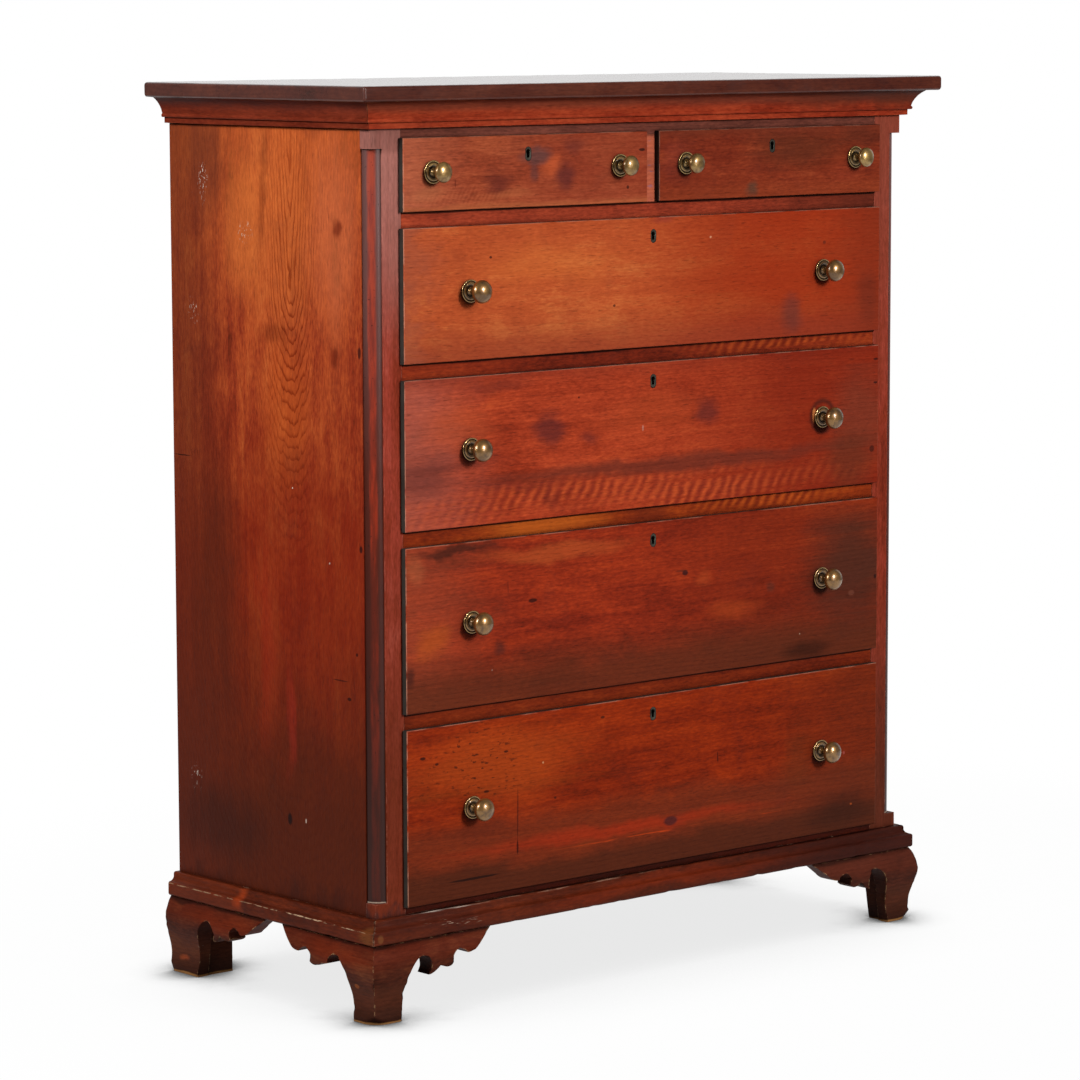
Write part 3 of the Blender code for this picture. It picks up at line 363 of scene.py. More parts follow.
def woodFinish(name, node, **changes):
    wood = {**plainWood, **changes}
    material = bpy.data.materials.new(name)
    f = Finish(material)
    spot = f.spot()
    axes = dict(zip("xyz", f.split(spot)))
    along, across, deep = (axes[letter] for letter in wood["grain"])
    if wood["cornered"]:
        nx, ny, _ = f.split(f.normal())
        turn = f.rise(ny * ny - nx * nx, 0.08, 0.25)
        along, deep = along + (deep - along) * turn, deep + (along - deep) * turn
    seed = wood["seed"] * 7.31
    low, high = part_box(node)
    fractions, widths = [], []
    for axis in wood["face"]:
        number = "xyz".index(axis[-1])
        widths.append(high[number] - low[number])
        fraction = (axes[axis[-1]] - low[number]) / widths[-1]
        fractions.append(1 - fraction if axis[0] == "-" else fraction)
    u, w = fractions
    stirU, stirW, _ = f.split(f.noise(spot, 8.0 + wood["seed"] % 1, 4.0, 0.6, output="Color"))

    def grained(pace, narrow, detail=2.0, rough=0.5, twist=0.0, shift=0.0):
        place = f.join(along * pace + (seed + shift), across * narrow, deep * narrow)
        return f.noise(place, 1.0, detail, rough, twist)

    band, streak, mottle, fibre, fleck, waver = (
        grained(*woodClouds[cloud]) for cloud in ("band", "streak", "mottle", "fibre", "fleck", "waver"))
    ripple = grained(*wood["teeth"], shift=1.0)

    # where a tone lies: 1 in it, 0 outside
    def toneMask(kind, *shape):
        plain = toneKinds[kind]
        if kind == "slope":
            axis, start, end = shape
            small, large = plain["stir"]
            place = (u if axis == "u" else w) + (mottle - 0.5) * small + (stirU - 0.5) * large
            return f.rise(place, start, end)
        atU, atW, wide, tall, *paces = shape
        du = (u - atU) * widths[0] + (stirU - 0.5) * plain["stir"]
        dw = (w - atW) * widths[1] + (stirW - 0.5) * plain["stir"]
        if kind == "halo":
            radius, width = wide, tall
            away = (du * du + dw * dw) ** 0.5
            return f.rise(away, radius - width, radius) * (1 - f.rise(away, radius, radius + width))
        du, dw = du / wide, dw / tall
        away = (du * du + dw * dw) ** 0.5
        if "fray" in plain:
            away = away + (streak - 0.5) * plain["fray"]
        mask = 1 - f.rise(away, *plain["edge"])
        if paces:
            mask = mask * f.rise(grained(*paces, 2.0, 0.6, 0.0, 17.0), *plain["flecks"])
        return mask

    mood = (0.5 + (band - 0.5) * wood["bands"] + (streak - 0.5) * wood["streaks"]
            + (mottle - 0.5) * wood["mottle"] + (fleck - 0.5) * wood["grit"])
    stops = list(zip(wood["paletteStops"], tints(wood["palette"])))
    paint = f.node("ShaderNodeValToRGB", {"stops": stops}, {0: mood})

    # growth rings, cut by the face as long loops
    far = high["xyz".index(wood["grain"][0])] - along
    taper, bend, start = wood["taper"]
    past = f.either(far - start, 0.0)
    depth = wood["heart"][1] + far * taper + past * bend
    offset = across - wood["heart"][0] + (grained(*woodClouds["sway"]) - 0.5) * wood["sway"]
    radius = (offset * offset + depth * depth) ** 0.5 + far * wood["cone"] + (ripple - 0.5) * wood["ripple"]
    ring = radius / wood["pitch"] + seed
    saw = f.node("ShaderNodeMath", {"operation": "FRACT"}, {0: ring})
    late = f.rise(saw, *wood["late"]) * (1 - f.rise(saw, wood["late"][1] + 0.02, 1.0))
    ringShare = wood["rings"]
    if wood["ringZone"]:
        *zone, outside = wood["ringZone"]
        ringShare = (outside + toneMask("patch", *zone) * (1 - outside)) * wood["rings"]

    for kind, *shape, code, amount in wood["tones"]:
        paint = f.blend(toneMask(kind, *shape) * amount, paint, tint(code))
    paint = f.blend(late * ringShare, paint, tint(wood["ringTint"]), "MULTIPLY")
    if wood["curl"]:
        curl = wood["curl"]
        zone = toneMask("patch", *curl["zone"])
        phase = (along + across * curl["lean"]) * (2 * math.pi / curl["period"])
        phase = phase + (waver - 0.5) * 5 + (stirU - 0.5) * 6
        wave = f.node("ShaderNodeMath", {"operation": "SINE"}, {0: phase}) * 0.5 + 0.5
        stripe = zone * f.rise(streak, 0.36, 0.56)
        paint = f.blend(stripe * wave * curl["depth"], paint, tint(curl["light"]))
        paint = f.blend(stripe * (1 - wave) * curl["depth"], paint, tint(curl["dark"]))
    dirt = f.rise(f.noise(spot, 13.0 + wood["seed"] % 1, 4.0, 0.62, 0.6), 0.54, 0.76)
    paint = f.blend(dirt * wood["stain"], paint, tint(wood["stainTint"]))
    paint = f.grain(paint, fibre, wood["fibre"])
    paint = f.grain(paint, fleck, wood["fleck"])
    pores = f.rise(grained(*woodClouds["pores"]), 0.62, 0.74)
    paint = f.blend(pores * wood["pores"], paint, tint(wood["poreTint"]))

    if wood["drawer"]:  # blackened edges round the face, bare wood behind them
        drawer = wood["drawer"]
        face = low["xyz".index(wood["grain"][2])]
        edges, behind = (f.rise(deep, *(face + reach for reach in drawer[key])) for key in ("black", "bare"))
        paint = f.blend(edges, paint, f.blend(mottle, *tints(drawer["blackTints"])))
        paint = f.blend(behind, paint, f.blend(streak, *tints(drawer["bareTints"])))
    if wood["rim"]:
        rim = wood["rim"]
        fromSides = f.least(u, 1 - u) * widths[0]
        fromTop = (1 - w) * widths[1]
        edge = f.least(fromSides, fromTop) + (waver - 0.5) * rim["uneven"]
        line = (1 - f.rise(edge, rim["width"] * 0.5, rim["width"])) * f.rise(waver, 0.36, 0.6)
        paint = f.blend(line * (1 - edges) * rim["amount"], paint, tint(rim["tint"]))
    # painted shade, with some grime, in corners, creases, arches and under the knobs, from how closed in a
    # place is
    if wood["shadeAndGrime"]:
        samples = 8 if wood["lean"] else 4
        corner = 1 - f.rise(f.openness(wood["hollow"], samples, wood["lean"]), *wood["hollowOpen"])
        if wood["drawer"]:
            corner = corner * (1 - edges * wood["drawer"]["cleanShare"])
        paint = f.blend(corner * wood["shadeAndGrime"], paint, tint(wood["shadeAndGrimeTint"]))
    if wood["wear"]:
        wear = wood["wear"]
        rounded = f.node("ShaderNodeBevel", {"samples": 4}, {"Radius": wear["radius"]})
        turned = 1 - f.dot(rounded, f.normal())
        worn = f.rise(turned, 0.02, 0.2) * f.rise(f.noise(spot, wear["pace"], 4.0, 0.65), *wear["patchy"])
        paint = f.blend(worn * wear["amount"], paint, tint(wear["tint"]))
    if wood["sole"]:  # the lowest edge, rubbed to bare wood
        sole = wood["sole"]
        height = w * widths[1] + (waver - 0.5) * sole["uneven"]
        bare = 1 - f.rise(height, sole["height"] * 0.4, sole["height"])
        paint = f.blend(bare * sole["amount"], paint, tint(sole["tint"]))

    rough = wood["rough"] + (mottle - 0.5) * 0.16 + (fibre - 0.5) * 0.12 + dirt * 0.08
    height = fibre * 0.1 + late * 0.08 + f.noise(spot, 9.0, 2.0) * 1.2 - pores * 0.14
    bump = f.node("ShaderNodeBump", {}, {
        "Strength": wood["relief"], "Distance": wood["reliefDepth"], "Height": height})
    coat = wood["coat"]
    if wood["coatUp"]:
        coat = f.rise(f.split(f.normal())[2], 0.5, 0.95) * coat
    f.surface({"Base Color": paint, "Roughness": rough, "Normal": bump, "Coat Weight": coat,
               "Coat Roughness": wood["coatRough"], "Specular IOR Level": wood["gloss"]})
    return material


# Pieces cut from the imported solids. Angles in degrees: under flat two faces are one, past sharp an edge is
# rounded, past arris it wears, past corner it turns too sharply to be faired. Nicks: paces, the second's
# share and where they begin.
boardShape = {
    "weld": 0.00001, "flat": 0.6, "sharp": 28.0, "arris": 12, "corner": 34, "segments": 2, "profile": 0.6,
    "wavePace": 5.0, "nickPaces": (60.0, 140.0), "nickShare": 0.6, "nickStart": 0.12, "inside": 1e-7,
}


# Rounds off the facets: a place inside a face drifts to its neighbours, one on an arris along the arris
def fair(bm, rounds):
    sharp = math.radians(boardShape["sharp"])
    hard = {edge for edge in bm.edges if not edge.is_manifold or edge.calc_face_angle(0.0) > sharp}
    for _ in range(rounds):
        moves = []
        for vert in bm.verts:
            arris = [edge for edge in vert.link_edges if edge in hard]
            if len(arris) not in (0, 2):
                continue
            beside = [edge.other_vert(vert).co for edge in (arris or vert.link_edges)]
            turn = (beside[0] - vert.co).angle(vert.co - beside[1], math.pi) if arris else 0
            if turn > math.radians(boardShape["corner"]):
                continue
            middle = sum(beside, Vector()) / len(beside)
            moves.append((vert, (middle - vert.co) * 0.5))
        for vert, move in moves:
            vert.co += move


# A closed copy of a node's mesh: welded, its flat faces made whole, cut across, faired, its edges rounded
def boardMesh(name, node, ease, step=None, chip=0.0, wave=0.0, rounds=0, shape=None):
    plain = boardShape
    low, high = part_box(node)
    bm = bmesh.new()
    bm.from_mesh(nodes[node].data)
    bmesh.ops.remove_doubles(bm, verts=bm.verts, dist=plain["weld"])
    flat = math.radians(plain["flat"])
    bmesh.ops.dissolve_limit(bm, angle_limit=flat, verts=bm.verts[:], edges=bm.edges[:])
    for number, axis in enumerate(Matrix.Identity(3)):
        spacing = step[number] if step else 0
        count = int((high[number] - low[number]) / spacing) if spacing else 0
        for part in range(1, count):
            place = axis * (low[number] + (high[number] - low[number]) * part / count)
            geometry = bm.verts[:] + bm.edges[:] + bm.faces[:]
            bmesh.ops.bisect_plane(bm, geom=geometry, plane_co=place, plane_no=axis, dist=plain["weld"])
    bm.normal_update()
    if rounds:
        fair(bm, rounds)
        bm.normal_update()
    sharp = math.radians(plain["sharp"])
    arrises = [edge for edge in bm.edges if edge.is_manifold and edge.calc_face_angle(0.0) > sharp]
    bmesh.ops.bevel(bm, geom=arrises, offset=ease, segments=plain["segments"], profile=plain["profile"],
                    affect="EDGES", clamp_overlap=True)
    bm.normal_update()
    moves = []
    for vert in bm.verts:
        turn = max((edge.calc_face_angle(0.0) for edge in vert.link_edges if edge.is_manifold), default=0.0)
        push = noise.noise(vert.co * plain["wavePace"]) * wave
        if turn > math.radians(plain["arris"]):
            coarse, fine = (noise.noise(vert.co * pace) for pace in plain["nickPaces"])
            push -= max(0.0, coarse + plain["nickShare"] * fine - plain["nickStart"]) * chip
        moves.append((vert, vert.normal * push))
    for vert, move in moves:
        vert.co += move
    if shape:
        shape(bm, low, high)
    for vert in bm.verts:  # nothing stands past the solid's own box
        for number in range(3):
            least, most = low[number] + plain["inside"], high[number] - plain["inside"]
            vert.co[number] = min(max(vert.co[number], least), most)
    return meshOf(name, bm)


# The finished mesh, shaded smooth
def meshOf(name, bm):
    for face in bm.faces:
        face.smooth = True
    mesh = bpy.data.meshes.new(name)
    bm.to_mesh(mesh)
    bm.free()
    return mesh


slotNames = {name: node.data.materials[0].name.split(".")[0] for name, node in nodes.items()}


def placePiece(name, mesh, material, node):
    piece = bpy.data.objects.new(name, mesh)
    bpy.context.scene.collection.objects.link(piece)
    mesh.materials.clear()
    mesh.materials.append(material)
    smooth = piece.modifiers.new("evenShade", "WEIGHTED_NORMAL")
    smooth.keep_sharp = True
    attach(piece, nodes[node]["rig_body"])
    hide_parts(node)


# A wooden piece in its node's place: how its mesh is worked, then what is its own in the wood
def dress(name, node, work, **wood):
    finish = woodFinish(f"{name}Wood", node, **wood)
    placePiece(name, boardMesh(name, node, **work), finish, node)


# A node that stays: its edges are eased, and it takes a wood of its own
def keep(node, name, ease=0.0006, **wood):
    material = woodFinish(name, node, **wood)
    piece = nodes[node]
    weld = piece.modifiers.new("weld", "WELD")
    weld.merge_threshold = boardShape["weld"]
    if ease:
        soft = piece.modifiers.new("ease", "BEVEL")
        soft.width = ease
        soft.segments = boardShape["segments"]
        soft.limit_method = "ANGLE"
        soft.angle_limit = math.radians(30)
    piece.data.materials.clear()
    piece.data.materials.append(material)


# Side boards
sideWood = {
    "grain": "zyx", "face": ("-y", "z"), "palette": ("54200f", "86301a", "a44722", "bc6230"),
    "bands": 0.5, "streaks": 0.45, "mottle": 0.5, "rings": 0.85, "ringTint": "bc9a8c",
    "heart": (-0.0276, 0.004), "taper": (0.011, 0.27, 0.27), "cone": 0.07, "late": (0.55, 0.92),
    "sway": 0.026, "ripple": 0.0105, "teeth": (15.0, 75.0), "ringZone": (0.64, 0.76, 0.07, 0.36, 0.12),
}
# The side's own tones, and painted light and shade: slopes make it lighter at the top and darker downwards
# and towards the back, and a dark band at the very top is a painted shadow under the cornice
sideTonesAndShade = (
    ("slope", "w", 0.74, 0.98, "c4642e", 0.4), ("slope", "w", 0.74, 0.42, "741d0c", 0.78),
    ("slope", "w", 0.46, 0.12, "431b0d", 0.88), ("slope", "u", 0.4, 0.05, "562215", 0.68),
    ("patch", 0.62, 0.84, 0.085, 0.17, "c4662f", 0.4), ("patch", 0.62, 0.63, 0.06, 0.12, "b4511f", 0.45),
    ("patch", 0.4, 0.84, 0.05, 0.12, "bf662f", 0.45), ("patch", 0.86, 0.8, 0.05, 0.16, "b9582b", 0.4),
    ("patch", 0.5, 0.9, 0.01, 0.12, "6e2a12", 0.45), ("patch", 0.54, 0.72, 0.04, 0.02, "6e2a12", 0.45),
    ("patch", 0.2, 0.92, 0.05, 0.1, "5c2a1c", 0.5), ("patch", 0.24, 0.4, 0.07, 0.22, "4c2012", 0.6),
    ("patch", 0.5, 0.34, 0.03, 0.16, "8c2613", 0.45), ("patch", 0.62, 0.25, 0.012, 0.08, "92281a", 0.45),
    ("patch", 0.25, 0.1, 0.12, 0.06, "351710", 0.65), ("slope", "w", 0.05, 0.0, "32150e", 0.6),
    ("patch", 0.86, 0.84, 0.06, 0.16, "c66c46", 0.28), ("slope", "w", 0.975, 1.0, "6a2c1c", 0.45),
    ("mark", 0.61, 0.128, 0.006, 0.01, "180c0a", 0.9),
    ("mark", 0.695, 0.13, 0.0015, 0.004, "c8b4a4", 0.8),
    ("mark", 0.05, 0.558, 0.022, 0.0012, "200d0a", 0.85),
    ("mark", 0.88, 0.311, 0.02, 0.0012, "200d0a", 0.7),
    ("mark", 0.925, 0.29, 0.005, 0.003, "1c0c0a", 0.85),
    ("mark", 0.965, 0.345, 0.003, 0.003, "1c0c0a", 0.8),
    ("patch", 0.88, 0.85, 0.012, 0.012, "641f10", 0.75),
    ("patch", 0.87, 0.693, 0.012, 0.014, "641f10", 0.75),
    ("mark", 0.99, 0.705, 0.004, 0.01, "241010", 0.8),
    ("mark", 0.99, 0.472, 0.004, 0.006, "241010", 0.85),
    ("mark", 0.64, 0.535, 0.0016, 0.0016, "d0c0b0", 0.8),
    ("mark", 0.83, 0.45, 0.0016, 0.0016, "d0c0b0", 0.7),
    ("scuff", 0.175, 0.895, 0.012, 0.032, 170.0, 420.0, "cfc0b2", 0.9),
    ("scuff", 0.41, 0.84, 0.022, 0.018, 170.0, 420.0, "cfb8a0", 0.7),
    ("scuff", 0.11, 0.74, 0.016, 0.02, 150.0, 420.0, "b9a898", 0.7),
    ("scuff", 0.12, 0.15, 0.016, 0.022, 170.0, 420.0, "cfc0b2", 0.8))
sideWork = {"ease": 0.0008, "step": (0, 0.03, 0.03), "wave": 0.0003}
sides = {
    "left": {"seed": 1.0, "tones": sideTonesAndShade},
    "right": {"seed": 2.3, "tones": sideTonesAndShade[:17],  # without the left side's marks
              "heart": (0.045, 0.01), "ringZone": (0.4, 0.6, 0.08, 0.36, 0.3)},
}
for side, changes in sides.items():
    dress(f"side{side.title()}", f"side_{side}", sideWork, **{**sideWood, **changes})

# Top board, cornice and base moulding
topWork = {"ease": 0.0012, "step": (0.02, 0.02, 0), "chip": 0.0012, "wave": 0.0004}
topWood = {
    "face": ("x", "y"), "seed": 3.1, "heart": (0.05, 0.03),
    "palette": ("2c0f08", "40160c", "4c1e10", "5c2a18"),
    "stain": 0.25, "stainTint": "2e1512", "rough": 0.3, "coat": 0.8, "coatUp": True, "gloss": 0.25,
    "shadeAndGrime": 0.0, "relief": 0.04, "tones": (("mark", 0.0, 0.5, 0.004, 0.9, "86706a", 0.09),),
    "wear": {"radius": 0.004, "amount": 0.45, "patchy": (0.54, 0.66), "pace": 36.0, "tint": "9a6a50"},
}
dress("topBoard", "top_board", topWork, **topWood)

corniceWood = {
    "palette": ("3e140d", "5e2012", "702a18", "843420"), "rings": 0.2, "heart": (1.25, 0.02), "shadeAndGrime": 0.75,
    "wear": {"radius": 0.003, "amount": 0.3, "patchy": (0.52, 0.68), "pace": 40.0, "tint": "b06a48"},
}
cornice = {
    # the front cove is darker over its upper part: a painted shadow of the top board's overhang
    "front": {"palette": ("561b0e", "842a16", "9a3a20", "b04a2a"), "tones": (
        ("slope", "w", 0.46, 0.8, "5c3022", 0.62), ("patch", 0.96, 0.78, 0.3, 0.024, "4c2418", 0.8))},
    "left": {}, "right": {},
}
baseWood = {
    "palette": ("2c0f08", "481a0b", "5a220f", "743018"), "rings": 0.2, "heart": (0.13, 0.02), "shadeAndGrime": 0.9,
    "hollow": 0.013, "hollowOpen": (0.42, 0.9), "gloss": 0.05,
    "wear": {"radius": 0.002, "amount": 0.6, "patchy": (0.52, 0.66), "pace": 90.0, "tint": "a8866c"},
}
baseMoulding = {
    "front": {"tones": (
        ("slope", "w", 0.45, 0.0, "3c1a10", 0.5), ("patch", 0.1, 0.55, 0.12, 0.03, "3a1710", 0.6),
        ("slope", "u", 0.5, 0.9, "30110b", 0.84),
        # pale dashes along the cap's top arris: part wear and part painted highlight
        ("dash", 0.09, 0.975, 0.12, 0.0012, 9.0, 120.0, "cabcae", 0.8),
        ("dash", 0.33, 0.975, 0.22, 0.0011, 20.0, 200.0, "a4806a", 0.55),
        ("scuff", 0.14, 0.5, 0.06, 0.006, 60.0, 520.0, "b89c86", 0.6),
        ("mark", 0.004, 0.8, 0.004, 0.008, "a89888", 0.5),
        ("mark", 0.012, 0.3, 0.006, 0.007, "7a4c2a", 0.5),
        ("patch", 0.5, 0.5, 0.3, 0.012, "76260e", 0.45))},
    "left": {"tones": (
        ("slope", "u", 0.372, 0.364, "6c2a12", 0.45), ("patch", 0.345, 0.45, 0.012, 0.02, "a03c16", 0.65),
        ("dash", 0.7, 0.53, 0.2, 0.001, 70.0, 300.0, "c0a080", 0.8),
        ("dash", 0.15, 0.53, 0.14, 0.001, 70.0, 300.0, "b09474", 0.5),
        ("patch", 0.965, 0.4, 0.02, 0.016, "7a4a22", 0.45))},
    "right": {"tones": (("scuff", 0.5, 0.55, 0.2, 0.006, 60.0, 420.0, "b89c84", 0.5),)},
}
mouldingStep = 0.01
for place in ("front", "left", "right"):
    if place == "front":
        run = {"grain": "xzy", "face": ("x", "z")}
        step = (mouldingStep, 0, 0)
    else:
        run = {"grain": "yzx", "face": ("-y", "z")}
        step = (0, mouldingStep, 0)
    dress(f"cornice{place.title()}", f"cornice_{place}",
          {"ease": 0.0006, "step": step, "chip": 0.0008, "wave": 0.0002},
          seed=4.0 + len(place), **run, **{**corniceWood, **cornice[place]})
    dress(f"baseMoulding{place.title()}", f"base_moulding_{place}",
          {"ease": 0.0009, "step": step, "chip": 0.0022, "wave": 0.0003},
          seed=6.0 + len(place), **run, **{**baseWood, **baseMoulding[place]})

# Corner posts and quarter columns
postTonesAndShade = {
    # slopes make each post lighter towards the top and darker downwards, as painted light and shade
    "left": (("slope", "w", 0.66, 0.93, "a8786e", 0.62), ("mark", 0.5, 0.955, 2.0, 0.02, "6a4038", 0.42),
             ("slope", "w", 0.62, 0.12, "5c2614", 0.78),
             ("slope", "w", 0.03, 0.012, "3a2220", 0.8)),
    "right": (("slope", "w", 0.55, 1.0, "7c4030", 0.65), ("slope", "w", 0.45, 0.05, "4a2416", 0.85)),
}
postWood = {
    "grain": "zxy", "palette": ("561c11", "7e2e1c", "92392a", "aa5040"), "fleck": 0.24,
    "wear": {"radius": 0.002, "amount": 0.5, "patchy": (0.42, 0.6), "pace": 90.0, "tint": "c07a66"},
}
signs = {"left": -1, "right": 1}
for side, sign in signs.items():
    dress(f"cornerPost{side.title()}", f"corner_post_{side}",
          {"ease": 0.0006, "step": (0, 0, 0.02), "chip": 0.0006, "wave": 0.0001},
          seed=8.0 + sign, heart=(sign * 0.5, 0.03), tones=postTonesAndShade[side], **postWood)

# A column's dark stain is worn through to red wood along its middle, and its dark sides, pale mauve near the
# top, stand also for a painted sheen; both grow darker towards the foot
columnPaintAndSheen = {
    "sides": ("2c1009", "471a0f", "603e3a"), "stops": (0.16, 0.52, 0.96), "stir": 0.3,
    "core": (("32120a", "682213", "70302a"), ("42160c", "8a2a14", "8c3a2a")), "edge": (0.925, 0.992),
    "holes": "0c0606", "groove": "0e0606", "foot": "a89482", "footHeight": (0.0012, 0.0024),
    "rough": 0.36, "coat": 0.1, "coatRough": 0.2, "gloss": 0.15, "relief": 0.4, "reliefDepth": 0.0008,
}


def columnFinish(name, node, sign):
    look = columnPaintAndSheen
    material = bpy.data.materials.new(name)
    f = Finish(material)
    spot = f.spot()
    x, y, z = f.split(spot)
    low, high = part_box(node)
    height = (z - low.z) / (high.z - low.z)
    facing = f.dot(f.normal(), Vector((sign, -1, 0)).normalized())
    long = f.noise(f.join(x * 60, y * 60, z * 4.0 + sign), 1.0, 3.0, 0.6)
    short = f.noise(f.join(x * 190, y * 190, z * 26.0), 1.0, 3.0, 0.62)
    fine = f.noise(f.join(x * 700, y * 700, z * 60.0), 1.0, 2.0)

    def downwards(codes):
        stops = list(zip(look["stops"], tints(codes)))
        return f.node("ShaderNodeValToRGB", {"stops": stops}, {0: height + (long - 0.5) * look["stir"]})

    dull, bare = (downwards(codes) for codes in look["core"])
    core = f.blend(f.rise(short * 0.5 + long * 0.5, 0.4, 0.58), dull, bare)
    # red along the middle and dark at the sides by which way the surface faces: worn stain and painted sheen
    worn = f.rise(facing + (long - 0.5) * 0.1 + (short - 0.5) * 0.05, *look["edge"])
    paint = f.blend(worn, downwards(look["sides"]), core)
    paint = f.grain(paint, fine, 0.2)
    specks = f.rise(f.noise(spot, 300.0, 1.0), 0.7, 0.76)
    paint = f.blend(specks * 0.7, paint, tint(look["holes"]))
    # painted shade in the recess round the column
    corner = 1 - f.rise(f.openness(0.011), 0.4, 0.92)
    paint = f.blend(corner * 0.9, paint, tint(look["groove"]))
    foot = 1 - f.rise(z - low.z + (short - 0.5) * 0.002, *look["footHeight"])
    paint = f.blend(foot * 0.75, paint, tint(look["foot"]))
    bump = f.node("ShaderNodeBump", {}, {
        "Strength": look["relief"], "Distance": look["reliefDepth"], "Height": fine * 0.3 + short * 0.5})
    f.surface({"Base Color": paint, "Roughness": look["rough"] + (short - 0.5) * 0.2, "Normal": bump,
               "Coat Weight": look["coat"], "Coat Roughness": look["coatRough"],
               "Specular IOR Level": look["gloss"]})
    return material


for side, sign in signs.items():
    node = f"quarter_column_{side}"
    name = f"quarterColumn{side.title()}"
    finish = columnFinish(f"{name}Paint", node, sign)
    mesh = boardMesh(name, node, ease=0.0003, step=(0, 0, 0.02), chip=0.0003, wave=0.0001)
    placePiece(name, mesh, finish, node)


# Feet: the sole's outer corner is worn round
soleShape = {"round": {"front": 0.03, "rear": 0.012}, "rise": 0.016, "least": 0.0005}


def roundSole(sign, end):
    front = end == "front"

    def shape(bm, low, high):
        cornerX = low.x if sign < 0 else high.x
        cornerY = low.y if front else high.y
        inX, inY = -sign, 1 if front else -1
        sole = [vert for vert in bm.verts if vert.co.z < low.z + soleShape["rise"]]
        outX = min((vert.co.x - cornerX) * inX for vert in sole)
        outY = min((vert.co.y - cornerY) * inY for vert in sole)
        for vert in sole:
            share = 1 - (vert.co.z - low.z) / soleShape["rise"]
            radius = soleShape["round"][end] * share
            fromX = (vert.co.x - cornerX) * inX - outX
            fromY = (vert.co.y - cornerY) * inY - outY
            if radius < soleShape["least"] or fromX >= radius or fromY >= radius:
                continue
            away = Vector((radius - fromX, radius - fromY))
            if away.length > radius:
                away *= radius / away.length
                vert.co.x = cornerX + (outX + radius - away.x) * inX
                vert.co.y = cornerY + (outY + radius - away.y) * inY
    return shape


footWood = {
    "grain": "yzx", "cornered": True, "face": ("-y", "z"), "heart": (0.2, 0.03),
    "palette": ("1e0d07", "38170d", "4a2114", "62351f"), "rings": 0.2, "mottle": 0.9,
    # painted shade in the arches and round the sole
    "shadeAndGrime": 0.9, "hollow": 0.04, "hollowOpen": (0.52, 0.94),
    "sole": {"height": 0.0045, "uneven": 0.006, "amount": 0.75, "tint": "94683c"},
    "wear": {"radius": 0.003, "amount": 0.75, "patchy": (0.49, 0.62), "pace": 90.0, "tint": "a8845e"},
}
footWork = {"ease": 0.001, "step": (0.0065,) * 3, "chip": 0.0024, "wave": 0.0004, "rounds": 5}
# the feet darken downwards as painted shade, and near black in a band at the very top, under the moulding
footTonesAndShade = (
    ("slope", "w", 0.6, 0.4, "50291a", 0.6), ("slope", "w", 0.3, 0.1, "301a11", 0.42),
    ("slope", "w", 0.6, 1.0, "642110", 0.5), ("patch", 0.62, 0.8, 0.1, 0.016, "70260f", 0.5),
    ("slope", "w", 0.955, 0.99, "1c0c08", 0.7))
footMarks = {
    "front_left": (("mark", 0.8, 0.47, 0.006, 0.004, "8a4a24", 0.6),),
    "front_right": (("slope", "w", 0.4, 0.9, "4c2a20", 0.45),),
    "rear_left": (("patch", 0.14, 0.21, 0.012, 0.006, "a04a28", 0.7),
                  ("scuff", 0.33, 0.32, 0.008, 0.03, 90.0, 200.0, "a89c90", 0.5)),
    "rear_right": (),
}
for end in ("front", "rear"):
    for side, sign in signs.items():
        work = {**footWork, "shape": roundSole(sign, end)}
        dress(f"foot{end.title()}{side.title()}", f"foot_{end}_{side}", work, seed=11.0 + sign + len(end),
              tones=footTonesAndShade + footMarks[f"{end}_{side}"], **footWood)

# Rails, dust boards, bottom and back stay as they are, all but the back with eased edges
railCurl = {"zone": (0.78, 0.9, 0.24, 0.03), "lean": -0.7, "period": 0.019, "depth": 0.7,
            "light": "a8461c", "dark": "641d0e"}
railWood = {"shadeAndGrime": 0.95, "hollow": 0.012}
railShadowLine = ("mark", 0.5, 1.0, 2.0, 0.003, "140806", 0.85)  # painted shadow under the drawer above
rails = {
    4: {"palette": ("561e14", "8c3420", "a64228", "b85432"), "tones": (
        ("slope", "u", 0.62, 0.98, "4a1f16", 0.8), railShadowLine)},
    3: {"palette": ("50180e", "7c2814", "923418", "aa4820"), "tones": (railShadowLine,), "curl": railCurl},
    2: {"palette": ("4c1a0e", "76270f", "903512", "a84a18"), "tones": (
        ("patch", 0.3, 0.9, 0.13, 0.03, "ba5a1c", 0.75), ("patch", 0.5, 0.9, 0.05, 0.03, "5c2012", 0.5),
        railShadowLine), "curl": {**railCurl, "zone": (0.74, 0.9, 0.2, 0.03), "light": "b04c1a", "dark": "6c2210"}},
    1: {"palette": ("3c140a", "641f0d", "7a2a10", "923c18"), "tones": (
        ("slope", "u", 0.05, 0.0, "3a160c", 0.4), railShadowLine)},
}
for number, changes in rails.items():
    keep(f"dust_board_{number}", f"rail{number}Wood", seed=20.0 + number, heart=(0.3, 0.03),
         hollowOpen=(0.4, 0.86), **railWood, **changes)
keep("top_rail_and_divider", "topRailWood", seed=27.0, heart=(1.4, 0.05),
     palette=("3c201a", "5c3026", "6e3a2e", "8e4c3c"), stain=0.4, tones=(
         ("slope", "w", 0.65, 0.6, "bc6044", 0.84),
         ("scuff", 0.5, 0.32, 0.014, 0.06, 70.0, 300.0, "8c5c68", 0.75)))
keep("case_bottom", "bottomRailWood", seed=28.0, heart=(0.3, 0.05),
     palette=("2a0e08", "40140a", "50190d", "642412"), hollowOpen=(0.35, 0.8), **railWood)
